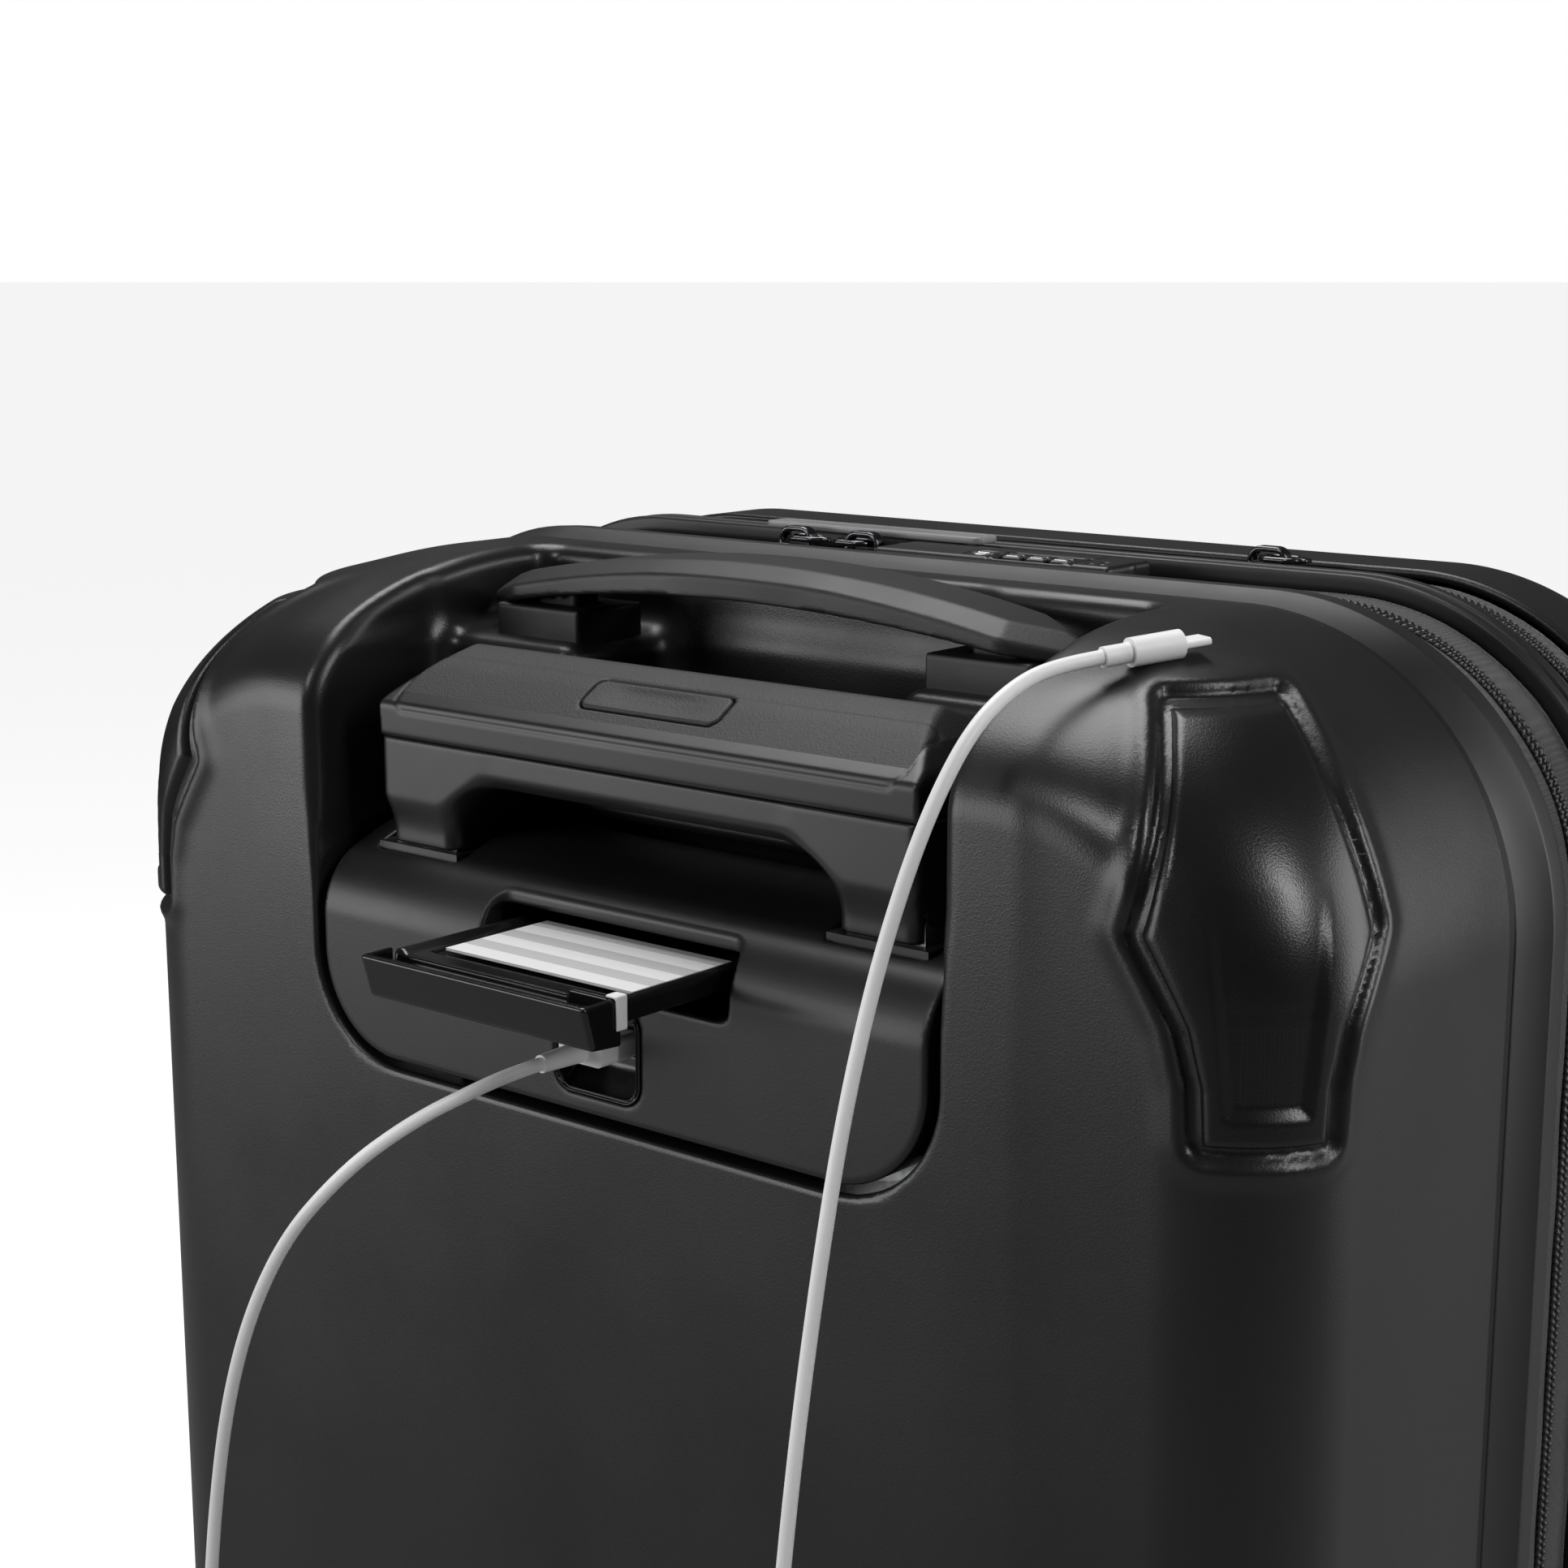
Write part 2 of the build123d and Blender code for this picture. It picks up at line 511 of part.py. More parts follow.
with BuildPart() as rods:
    box((-TUBE_X - 2, TUBE_X + 2), (TUBE_Y - 4, TUBE_Y + 4), (497.2, 499.8))
    with BuildSketch(Plane.XY.offset(TUBE_LOW + 30)):
        with Locations((-TUBE_X, TUBE_Y), (TUBE_X, TUBE_Y)):
            Circle(1.6)
    extrude(amount=498 - TUBE_LOW - 30)
save(rods, "release_rods")


# ---------------------------------------------------------------- carry handle
with BuildPart() as carry_handle:
    with BuildSketch(at_y(BACK + 53)):
        with BuildLine():
            ThreePointArc((-103, 537), (0, 550), (103, 537))
            Line((103, 537), (101, 531))
            ThreePointArc((101, 531), (0, 540.5), (-101, 531))
            Line((-101, 531), (-103, 537))
        make_face()
    extrude(amount=-33)
    with BuildPart(mode=Mode.PRIVATE) as plan:
        with BuildSketch(Plane.XY.offset(500)):
            with BuildLine():
                Polyline(*[(x, BACK + off) for x, off in (
                    (-104, 62), (-84, 54), (0, 53), (84, 54), (104, 62),
                    (104, 76), (84, 85), (0, 86), (-84, 85), (-104, 76))], close=True)
            make_face()
        extrude(amount=80)
    add(plan.part, mode=Mode.INTERSECT)
    chamfer(carry_handle.faces().sort_by(Axis.Z)[-1].edges(), 3.5)
    for sign in (-1, 1):
        around(sign * LEG_X, LEG_Y, LEG, 0, (514, 537))
save(carry_handle, "carry_handle")

with BuildPart() as anchors:
    for sign in (-1, 1):
        around(sign * LEG_X, LEG_Y, (32, 26), 0, (SHELF_HIGH + 0.1, 531))
        around(sign * LEG_X, LEG_Y, LEG, HAIR, (SHELF_HIGH - 5, 540), Mode.SUBTRACT)
save(anchors, "handle_anchors")


# ---------------------------------------------------------------- lock and zips
dial_y = (LOCK_Y[0] + LOCK_Y[1]) / 2
key_x, key_r = 21.0, 3.4
dial_half = DIAL_R + 0.3

with BuildPart() as lock_body:
    box(LOCK_X, LOCK_Y, LOCK_Z)
    box(LOCK_X, (LOCK_Y[1] - 1, 51), (LOCK_Z[1] - 4.2, LOCK_Z[1]))
    fillet(lock_body.edges().filter_by(Axis.Z), 2)
    box((DIAL_X[0] - 3.6, DIAL_X[2] + 3.6), (dial_y - dial_half, dial_y + dial_half),
        (DIAL_Z - 6.2, 550), mode=Mode.SUBTRACT)
    with BuildSketch(Plane.YZ.offset(DIAL_X[0] - 6)):
        with Locations((dial_y, DIAL_Z)):
            Circle(SPINDLE_R)
    extrude(amount=28, mode=Mode.SUBTRACT)
    with BuildSketch(Plane.XY.offset(LOCK_Z[1] - 12)):
        with Locations((key_x, dial_y)):
            Circle(key_r + RUNNING)
    extrude(amount=20, mode=Mode.SUBTRACT)
save(lock_body, "lock_body")

with BuildPart() as spindle:
    with BuildSketch(Plane.YZ.offset(DIAL_X[0] - 6)):
        with Locations((dial_y, DIAL_Z)):
            Circle(SPINDLE_R)
    extrude(amount=28)
save(spindle, "dial_spindle")

for number, dial_x in enumerate(DIAL_X, 1):
    with BuildPart() as dial:
        with BuildSketch(Plane.YZ.offset(dial_x - DIAL_W / 2)):
            with Locations((dial_y, DIAL_Z)):
                Circle(DIAL_R)
                Circle(SPINDLE_R + RUNNING, mode=Mode.SUBTRACT)
        extrude(amount=DIAL_W)
        with BuildSketch(Plane.YZ.offset(dial_x - DIAL_W / 2)):
            with Locations((dial_y, DIAL_Z)):
                with PolarLocations(DIAL_R, 10, start_angle=18):
                    Circle(0.5)
        extrude(amount=DIAL_W, mode=Mode.SUBTRACT)
    save(dial, "lock_dial_" + str(number))

with BuildPart() as key:
    with BuildSketch(Plane.XY.offset(LOCK_Z[1] - 11.5)):
        with Locations((key_x, dial_y)):
            Circle(key_r)
    extrude(amount=11.7)
    with BuildSketch(Plane.XY.offset(LOCK_Z[1] + 0.2)):
        with Locations((key_x, dial_y)):
            Rectangle(4.2, 0.9)
    extrude(amount=-3, mode=Mode.SUBTRACT)
save(key, "key_cylinder")

with BuildPart() as lever:
    with BuildSketch(Plane.XY.offset(LOCK_Z[1] + HAIR)):
        with Locations((LEVER_MID[0], LEVER_MID[1])):
            RectangleRounded(LEVER_SIZE[0], LEVER_SIZE[1], 3)
    extrude(amount=LEVER_SIZE[2])
save(lever, "lock_lever")


def zip_slider(name, x, y, way):
    """A zip's slider with its bridge, and the ring pull whose bar turns in it."""
    low = BAND_HIGH + COIL_PROUD + HAIR
    bar_x = x + way * (RING_OFFSET - (RING_SIZE[0] + RING_HOLE[0]) / 4)
    with BuildPart() as slider:
        with BuildSketch(Plane.XY.offset(low)):
            with Locations((x, y)):
                RectangleRounded(SLIDER_SIZE[0], SLIDER_SIZE[1], 3)
        extrude(amount=SLIDER_SIZE[2])
        box((x - 5, x + 5), (y - 1.6, y + 1.6), (low + 1.7, low + BRIDGE_HIGH))
        box((x - 3.4, x + 3.4), (y - 2, y + 2), (low + SLIDER_SIZE[2], low + BRIDGE_HIGH - 1.4),
            mode=Mode.SUBTRACT)
        fillet(slider.edges().filter_by(Axis.Y).group_by(Axis.Z)[-1], 1.8)
    save(slider, "zip_slider_" + name)
    with BuildPart() as pull:
        with BuildSketch(Plane.XY.offset(low + RING_Z - RING_THICK / 2)):
            with Locations((x + way * RING_OFFSET, y)):
                RectangleRounded(RING_SIZE[0], RING_SIZE[1], 4)
                RectangleRounded(RING_HOLE[0], RING_HOLE[1], 2.4, mode=Mode.SUBTRACT)
        extrude(amount=RING_THICK)
        with BuildSketch(at_y(y - RING_HOLE[1] / 2)):
            with Locations((bar_x, low + RING_Z)):
                Circle(BAR_R)
        extrude(amount=-RING_HOLE[1])
    save(pull, "zip_pull_" + name)


zip_slider("left", -52.0, (BACK_TAPE_Y[1] + LID_TAPE_Y[0]) / 2, 1)
zip_slider("right", -27.0, (BACK_TAPE_Y[1] + LID_TAPE_Y[0]) / 2, -1)
zip_slider("expander", 84.0, (FRAME_TAPE_Y[1] + FRONT_TAPE_Y[0]) / 2, 1)

with BuildPart() as hinge_tape:
    box((-BAND_HALF_W + 2.2, -BAND_HALF_W + 3.2), (BACK_TAPE_Y[0] + 2, LID_TAPE_Y[1] - 2), (150, 460))
save(hinge_tape, "hinge_tape")


# ---------------------------------------------------------------- charging lead
PLUG_FACE, BOOT_END = BACK - 6.0, BACK - 20.0
with BuildPart() as usb_plug:
    box((-6.0, 6.0), (BACK + 7, BACK + 19), (PORT_Z - 2.2, PORT_Z + 2.2))
    box((-5.6, 5.6), (BACK + 9, BACK + 20), (PORT_Z - 0.1, PORT_Z + 1.9), mode=Mode.SUBTRACT)
    with BuildSketch(at_y(BACK + 7.5)):
        with Locations((0, PORT_Z)):
            RectangleRounded(15, 6.6, 1.6)
    extrude(amount=13.5)
    with BuildSketch(at_y(PLUG_FACE)):
        with Locations((0, PORT_Z)):
            Circle(2.9)
    with BuildSketch(at_y(BOOT_END)):
        with Locations((0, PORT_Z)):
            Circle(2.3)
    loft()
save(usb_plug, "lead_usb_plug")

# The lead's route: (X, distance behind the back plane, height), from the shoulder to the port.
ROUTE = [(x, BACK + off, z) for x, off, z in (
    (130, 30, 541), (124.3, 19, 539.8), (121.8, 6, 536), (120.5, -6.5, 528.5), (118.5, -16.5, 515),
    (115.5, -24, 497), (111.5, -30, 473), (108, -36, 442), (105.8, -42, 405), (103.5, -47, 364),
    (101.5, -51, 318), (99, -54, 270), (95.5, -57, 220), (89, -60, 171), (76, -62.5, 126),
    (55, -64.5, 92), (29, -66, 73), (-1, -67, 71), (-30, -67.5, 84), (-54, -68, 110),
    (-70, -68, 147), (-79.5, -68, 192), (-83, -67.5, 242), (-80.5, -66, 294), (-71.5, -64, 345),
    (-55, -61, 382), (-34, -56, 406), (-16, -49, 421),
    (-4, -40, 429), (0, -30, PORT_Z), (0, -20, PORT_Z))]


def radii(points):
    """The largest tangent arcs that the runs allow, one for each inner point."""
    found = []
    for before, here, after in zip(points, points[1:], points[2:]):
        first, second = Vector(*here) - Vector(*before), Vector(*after) - Vector(*here)
        turn = first.get_angle(second)
        found.append(0.45 * min(first.length, second.length) / tan(radians(turn / 2)))
    return found


with BuildPart() as lead:
    with BuildLine() as lead_path:
        FilletPolyline(*ROUTE, radius=radii(ROUTE))
    with BuildSketch(Plane(origin=ROUTE[0], z_dir=Vector(*ROUTE[1]) - Vector(*ROUTE[0]))):
        Circle(LEAD_D / 2)
    sweep(path=lead_path.line)
save(lead, "charging_lead")
length = sum(edge.length for edge in lead_path.line.edges())
print("lead length", round(length, 1), "volume ratio",
      round(lead.part.volume / (pi * LEAD_D ** 2 / 4 * length), 4))
print("radii", [round(r) for r in radii(ROUTE)])

tip_way = (Vector(*ROUTE[0]) - Vector(*ROUTE[1])).normalized()
with BuildPart() as phone_plug:
    for reach, long, radius in ((0.0, 7.0, 2.4), (7.0, 13.0, 3.4)):
        with BuildSketch(Plane(origin=Vector(*ROUTE[0]) + tip_way * reach, z_dir=tip_way)):
            Circle(radius)
        extrude(amount=long)
    with BuildSketch(Plane(origin=Vector(*ROUTE[0]) + tip_way * 20, z_dir=tip_way)):
        RectangleRounded(6.6, 1.8, 0.8)
    extrude(amount=6.5)
save(phone_plug, "lead_phone_plug")
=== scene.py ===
"""Looks for the cabin suitcase: shells, trims, zips, handles, port and lead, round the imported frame."""
import math

import bpy
import numpy as np
from mathutils import Matrix, Vector


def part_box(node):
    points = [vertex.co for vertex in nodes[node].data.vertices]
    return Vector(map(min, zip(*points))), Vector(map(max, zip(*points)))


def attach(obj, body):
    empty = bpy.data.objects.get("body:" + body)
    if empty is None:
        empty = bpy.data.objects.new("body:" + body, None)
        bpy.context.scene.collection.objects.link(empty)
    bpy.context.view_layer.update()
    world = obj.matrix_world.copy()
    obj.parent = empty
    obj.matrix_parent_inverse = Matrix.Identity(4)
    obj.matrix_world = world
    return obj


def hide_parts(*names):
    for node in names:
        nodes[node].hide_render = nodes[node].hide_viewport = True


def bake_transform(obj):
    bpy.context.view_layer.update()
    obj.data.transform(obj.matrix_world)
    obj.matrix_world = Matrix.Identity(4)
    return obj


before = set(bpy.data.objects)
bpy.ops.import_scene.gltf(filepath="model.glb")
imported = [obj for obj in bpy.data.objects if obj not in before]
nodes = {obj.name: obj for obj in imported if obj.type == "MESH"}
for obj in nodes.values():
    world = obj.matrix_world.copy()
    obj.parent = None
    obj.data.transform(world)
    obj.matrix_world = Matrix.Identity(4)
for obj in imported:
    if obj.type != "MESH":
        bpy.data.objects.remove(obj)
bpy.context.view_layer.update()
MM = 0.001
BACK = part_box("back_shell")[0].y


# ---------- camera, floor and light
def add(name, data):
    """A new object in the scene."""
    made = bpy.data.objects.new(name, data)
    bpy.context.scene.collection.objects.link(made)
    return made


def set_inputs(node, **facts):
    """Constant values on a node's own sockets, with _ for each space in their names."""
    for key, value in facts.items():
        node.inputs[key.replace("_", " ")].default_value = value


def camera():
    data = bpy.data.cameras.new("camera")
    data.lens = 61.44
    data.sensor_width = 36.0
    data.clip_end = 50.0
    cam = add("camera", data)
    cam.location = (0.45512, -0.57247, 0.63104)
    turn, pitch = math.radians(39.763), math.radians(11.328)
    look = Vector((-math.sin(turn) * math.cos(pitch), math.cos(turn) * math.cos(pitch), -math.sin(pitch)))
    cam.rotation_euler = look.to_track_quat("-Z", "Y").to_euler()
    bpy.context.scene.camera = cam


def area(name, place, target, size, power):
    data = bpy.data.lights.new(name, "AREA")
    data.shape = "RECTANGLE"
    data.size, data.size_y = size
    data.energy = power
    light = add(name, data)
    light.location = place
    light.rotation_euler = (Vector(target) - Vector(place)).to_track_quat("-Z", "Y").to_euler()


def floor_look():
    """Pale to the camera, and dim to everything else, so that little light comes off it."""
    look, tree, shader, _ = fresh("floor_pale", (0.32, 0.32, 0.32), 0.9, Specular_IOR_Level=0.1,
                                  Emission_Color=(1, 1, 1, 1))
    seen = tree.nodes.new("ShaderNodeLightPath").outputs["Is Camera Ray"]
    tree.links.new(times(tree, seen, 0.88), shader.inputs["Emission Strength"])
    return look


def studio():
    """Soft boxes against a dim room, whose backdrop is white to the camera alone."""
    bpy.context.scene.view_settings.view_transform = "Standard"
    world = bpy.data.worlds.new("world")
    bpy.context.scene.world = world
    world.use_nodes = True
    tree = world.node_tree
    room = tree.nodes["Background"]
    set_inputs(room, Color=(1, 1, 1, 1))
    seen = tree.nodes.new("ShaderNodeLightPath").outputs["Is Camera Ray"]
    level = tree.nodes.new("ShaderNodeMapRange")
    set_inputs(level, To_Min=0.07, To_Max=1.0)
    tree.links.new(seen, level.inputs["Value"])
    tree.links.new(level.outputs[0], room.inputs["Strength"])
    area("left_box", (-1.4, -1.6, 0.6), (0, -0.1, 0.4), (1.3, 1.1), 18)
    area("right_box", (1.6, 1.3, 0.8), (0.1, 0, 0.4), (0.9, 1.5), 15)
    area("top_box", (-0.5, 0.2, 1.9), (0, 0, 0.4), (1.0, 1.0), 20)
    area("edge_box", (1.5, -0.1, 1.3), (0.1, 0, 0.45), (0.3, 0.8), 9)
    area("front_box", (-0.3, -1.8, 1.8), (0, -0.1, 0.45), (0.5, 0.4), 8)
    bpy.ops.mesh.primitive_plane_add(size=120, location=(0, 0, -0.0005))
    floor = bpy.context.object
    floor.name = "floor"
    floor.data.materials.append(floor_look())


# ---------- the charging lead
LEAD_D = 0.0035
ROUTE = [(x * MM, BACK + off * MM, z * MM) for x, off, z in (
    (130, 30, 541), (124.3, 19, 539.8), (121.8, 6, 536), (120.5, -6.5, 528.5), (118.5, -16.5, 515),
    (115.5, -24, 497), (111.5, -30, 473), (108, -36, 442), (105.8, -42, 405), (103.5, -47, 364),
    (101.5, -51, 318), (99, -54, 270), (95.5, -57, 220), (89, -60, 171), (76, -62.5, 126),
    (55, -64.5, 92), (29, -66, 73), (-1, -67, 71), (-30, -67.5, 84), (-54, -68, 110),
    (-70, -68, 147), (-79.5, -68, 192), (-83, -67.5, 242), (-80.5, -66, 294), (-71.5, -64, 345),
    (-55, -61, 382), (-34, -56, 406), (-16, -49, 421), (-4, -40, 429), (0, -30, 432), (0, -20, 432))]


def lead():
    data = bpy.data.curves.new("lead", "CURVE")
    data.dimensions = "3D"
    spline = data.splines.new("NURBS")
    spline.points.add(len(ROUTE) - 1)
    for point, place in zip(spline.points, reversed(ROUTE)):
        point.co = (*place, 1)
        point.radius = LEAD_D / 2
    spline.order_u = 3
    spline.use_endpoint_u = True
    spline.resolution_u = 12
    data.bevel_depth = 1.0
    data.bevel_resolution = 6
    data.use_fill_caps = True
    piece = add("lead", data)
    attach(piece, "case")
    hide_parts("charging_lead")
    return piece


charging = lead()


# ---------- shapes as distance fields, in millimetres
def smooth_max(a, b, r):
    """Intersection whose edge is rounded to radius r."""
    r = np.maximum(r, 1e-3)
    return np.minimum(np.maximum(a, b), -r) + np.hypot(np.maximum(a + r, 0), np.maximum(b + r, 0))


def smooth_min(a, b, r):
    return -smooth_max(-a, -b, r)


def unit(value):
    """The value, held between 0 and 1."""
    return np.clip(value, 0, 1)


def carve(solid, tool, r):
    """The solid less the tool, with its rim rounded to radius r."""
    return smooth_max(solid, -tool, r)


def block(p, low, high, r=0.0):
    """A box with all its edges rounded to radius r."""
    q = [np.abs(c - (a + b) / 2) - (b - a) / 2 + r for c, a, b in zip(p, low, high)]
    outside = np.sqrt(sum(np.maximum(c, 0) ** 2 for c in q))
    return outside + np.minimum(np.maximum(np.maximum(q[0], q[1]), q[2]), 0) - r


def plate(u, v, half_u, low_v, high_v, r_high, r_low):
    """A flat rounded outline: distance, and how far its normal points up or down."""
    r = np.where(v > (low_v + high_v) / 2, r_high, r_low)
    qu = np.abs(u) - half_u + r
    qv = np.abs(v - (low_v + high_v) / 2) - (high_v - low_v) / 2 + r
    pu, pv = np.maximum(qu, 0), np.maximum(qv, 0)
    length = np.hypot(pu, pv)
    tilt = np.where(length > 1e-6, pv / np.maximum(length, 1e-6), (qv > qu) * 1.0)
    return length + np.minimum(np.maximum(qu, qv), 0) - r, tilt * np.sign(v - (low_v + high_v) / 2)


def polygon(u, v, points):
    """Distance to a closed outline of straight lines."""
    best = np.full(np.broadcast(u, v).shape, 1e9, np.float32)
    inside = np.zeros(best.shape, bool)
    for (au, av), (bu, bv) in zip(points, points[1:] + points[:1]):
        eu, ev = bu - au, bv - av
        t = unit(((u - au) * eu + (v - av) * ev) / (eu * eu + ev * ev))
        best = np.minimum(best, (u - au - t * eu) ** 2 + (v - av - t * ev) ** 2)
        if av != bv:
            inside ^= ((v < av) != (v < bv)) & (u < au + (v - av) * eu / ev)
    return np.where(inside, -1, 1) * np.sqrt(best)


def extruded(flat, along, low, high, r=0.0):
    """A flat outline's distance drawn out along an axis, its end edges rounded to r."""
    return smooth_max(flat, np.abs(along - (low + high) / 2) - (high - low) / 2, r)


def steps(low, high, *fine, coarse=5.0):
    """Grid lines from low to high: coarse ones, with each (from, to, step) stretch finer."""
    lines = list(np.arange(low, high, coarse))
    for start, end, size in fine:
        start, end = max(start, low), min(end, high)
        lines = [c for c in lines if not start - 0.4 * size < c < end + 0.4 * size]
        lines += list(np.arange(start, end + 0.5 * size, size))
    lines = sorted(set(round(float(c), 4) for c in lines + [low, high]))
    kept = [lines[0]]
    for c in lines[1:]:
        if c - kept[-1] > 0.25 * min([size for _, _, size in fine] + [coarse]):
            kept.append(c)
        elif c == lines[-1]:
            kept[-1] = c
    return np.array(kept, np.float32)


def skin(field, xs, ys, zs, smooth_steps=4):
    """The surface where a field is zero, as points and quads on a grid of any spacing."""
    f = field((xs[:, None, None], ys[None, :, None], zs[None, None, :]))
    f = np.ascontiguousarray(np.broadcast_to(f, (len(xs), len(ys), len(zs))), np.float32)
    inside = f < 0
    offsets = [(i, j, k) for i in (0, 1) for j in (0, 1) for k in (0, 1)]
    count = sum(inside[i:len(xs) - 1 + i, j:len(ys) - 1 + j, k:len(zs) - 1 + k].astype(np.int8)
                for i, j, k in offsets)
    active = (count > 0) & (count < 8)
    index = np.full(active.shape, -1, np.int32)
    ci, cj, ck = np.nonzero(active)
    index[ci, cj, ck] = np.arange(len(ci))
    total = np.zeros((len(ci), 3))
    hits = np.zeros(len(ci))
    lines = list(zip((xs, ys, zs), (ci, cj, ck)))
    for a in offsets:
        for axis in range(3):
            if a[axis]:
                continue
            b = tuple(v + (n == axis) for n, v in enumerate(a))
            fa = f[ci + a[0], cj + a[1], ck + a[2]]
            fb = f[ci + b[0], cj + b[1], ck + b[2]]
            cross = (fa < 0) != (fb < 0)
            t = np.where(cross, fa / np.where(cross, fa - fb, 1), 0)
            for n, (line, cell) in enumerate(lines):
                start, end = line[cell + a[n]], line[cell + b[n]]
                total[:, n] += np.where(cross, start + t * (end - start), 0)
            hits += cross
    points = total / hits[:, None]
    cell_size = np.stack([line[c + 1] - line[c] for line, c in lines], 1)
    low = np.stack([line[c] for line, c in lines], 1) - 0.3 * cell_size
    high = low + 1.6 * cell_size
    eps = 0.05
    for _ in range(smooth_steps):
        at = field(tuple(points[:, n] for n in range(3)))
        slope = np.stack([
            (field(tuple(points[:, n] + eps * (n == axis) for n in range(3))) - at) / eps
            for axis in range(3)], 1)
        points -= (at / np.maximum((slope ** 2).sum(1), 0.05))[:, None] * slope
        points = np.clip(points, low, high)
    faces = []
    for axis in range(3):
        one, two = [n for n in range(3) if n != axis]
        a = [slice(1, -1)] * 3
        a[axis] = slice(0, -1)
        b = list(a)
        b[axis] = slice(1, None)
        fa, fb = inside[tuple(a)], inside[tuple(b)]
        for sign, mask in ((1, fa & ~fb), (-1, fb & ~fa)):
            quad = []
            for d1, d2 in ((0, 0), (1, 0), (1, 1), (0, 1)):
                cell = list(np.nonzero(mask))
                cell[one] = cell[one] + d1
                cell[two] = cell[two] + d2
                quad.append(index[tuple(cell)])
            quad = np.stack(quad, 1)
            if (axis == 1) != (sign < 0):
                quad = quad[:, ::-1]
            faces.append(quad)
    return points, np.concatenate(faces)


def mesh_piece(name, points, faces, scale=MM):
    data = bpy.data.meshes.new(name)
    data.vertices.add(len(points))
    data.vertices.foreach_set("co", (np.asarray(points, np.float32) * scale).ravel())
    faces = np.asarray(faces, np.int32)
    data.loops.add(faces.size)
    data.loops.foreach_set("vertex_index", faces.ravel())
    data.polygons.add(len(faces))
    data.polygons.foreach_set("loop_start", np.arange(0, faces.size, faces.shape[1], dtype=np.int32))
    data.polygons.foreach_set("use_smooth", np.ones(len(faces), bool))
    data.update(calc_edges=True)
    data.validate()
    return add(name, data)


# ---------- the case's shells
HALF_W, LOW, HIGH, ROUND_HIGH, ROUND_LOW = 197.0, 58.0, 545.0, 75.0, 50.0
BACK_MM, FRONT_MM, SEAM_MM, FRONT_SEAM_MM = -100.0, 145.0, 8.0, 95.0
WELL_LOW_DEEP_MM, WELL_STEP_MM = 62.0, 477.0


def half_case(p, face, way, sides, top, low):
    """A half case: its front outline, with (along, deep) quarter ellipses rounding it into its face."""
    flat, tilt = plate(p[0], p[2], HALF_W, LOW, HIGH, ROUND_HIGH, ROUND_LOW)
    up, down = unit(tilt) ** 2, unit(-tilt) ** 2
    along, deep = [side + (high - side) * up + (bottom - side) * down
                   for side, high, bottom in zip(sides, top, low)]
    ahead = way * (p[1] - face)
    a, b = np.maximum(flat / along + 1, 0), np.maximum(ahead / deep + 1, 0)
    reach = np.hypot(a, b)
    slope = np.hypot(a / along, b / deep) / np.maximum(reach, 1e-6)
    rounded = (reach - 1) / np.maximum(slope, 1e-6)
    return np.where((a > 0) | (b > 0), rounded, np.maximum(flat, ahead))


def well(p):
    """The trolley well: its deep front, the shelves under the carry handle and the finger pocket."""
    x, y, z = p
    flat = plate(x, z, 107.0, 411.0, 900.0, 1.0, 31.0)[0]
    deep = extruded(flat, y, -400, BACK_MM + 50, 7)
    low = plate(x, z, 107.0, 411.0, WELL_STEP_MM, 6.0, 31.0)[0]
    deep = smooth_min(deep, extruded(low, y, -400, BACK_MM + WELL_LOW_DEEP_MM, 5), 2)
    shelf = block(p, (-107, -400, 523.5), (107, BACK_MM + 92, 900), 7)
    pocket = block(p, (-56, -400, 492), (56, BACK_MM + 92, 900), 8)
    return smooth_min(smooth_min(deep, shelf, 5), pocket, 6)


GUARD_OUTLINE = [(-13, 444), (13, 444), (13.6, 456), (16.5, 469), (21, 479), (25, 487.5),
                 (22.5, 498), (15, 525), (13, 531), (-13, 531), (-15, 525), (-22.5, 498),
                 (-25, 487.5), (-21, 479), (-16.5, 469), (-13.6, 456)]


def guard_plan(p):
    """Distance from the coffin-shaped outline of the corner guards, drawn on the diagonal."""
    across = (np.abs(p[0]) - (HALF_W - 18) + (p[1] - BACK_MM - 18)) * math.sqrt(0.5)
    return polygon(across, p[2], GUARD_OUTLINE) - 1.5, across


def hump(distance, centre, width):
    return np.exp(-((distance - centre) / width) ** 2)


def back_body(p):
    return half_case(p, BACK_MM, -1, (32, 32), (39, 85), (30, 40))


def back_surface(p):
    near = guard_plan(p)[0]
    body = back_body(p) - 1.3 * hump(near, 4.6, 2.2) + 1.6 * hump(near, 0.2, 1.6)
    rim = 1.6 + 3.4 * unit((p[2] - 455) / 30)
    return smooth_max(body, -well(p), rim)


def guard_surface(p):
    near, across = guard_plan(p)
    body = back_body(p)
    # a U-shaped dish in the lower half that fades out upward
    low = unit((499 - p[2]) / 26)
    dish = polygon(across, p[2], [(-8.5, 451), (8.5, 451), (13.5, 500), (-13.5, 500)])
    body = body - 1.5 + 1.5 * low * unit(0.5 - dish / 3.0)
    body = smooth_max(body, near + 1.2, 1.4)
    return np.maximum(body, -(back_body(p) + 2.0))


def front_surface(p):
    body = half_case(p, FRONT_MM, 1, (26, 26), (26, 27), (26, 27))
    # shallow upright flutes on the front face
    face = unit((p[1] - FRONT_MM + 8) / 6)
    sides = unit((150 - np.abs(p[0])) / 8)
    ends = unit((p[2] - 110) / 14) * unit((495 - p[2]) / 14)
    return body + 1.6 * face * sides * ends * (0.5 + 0.5 * np.cos(p[0] * 2 * math.pi / 50)) ** 3


def paint(piece, look):
    piece.data.materials.clear()
    piece.data.materials.append(look)


def dress(piece, body, slot, look, *replaced):
    """Rides a finished piece on its body, with its material, in place of its CAD nodes."""
    paint(piece, look)
    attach(piece, body)
    if replaced:
        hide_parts(*replaced)
    return piece


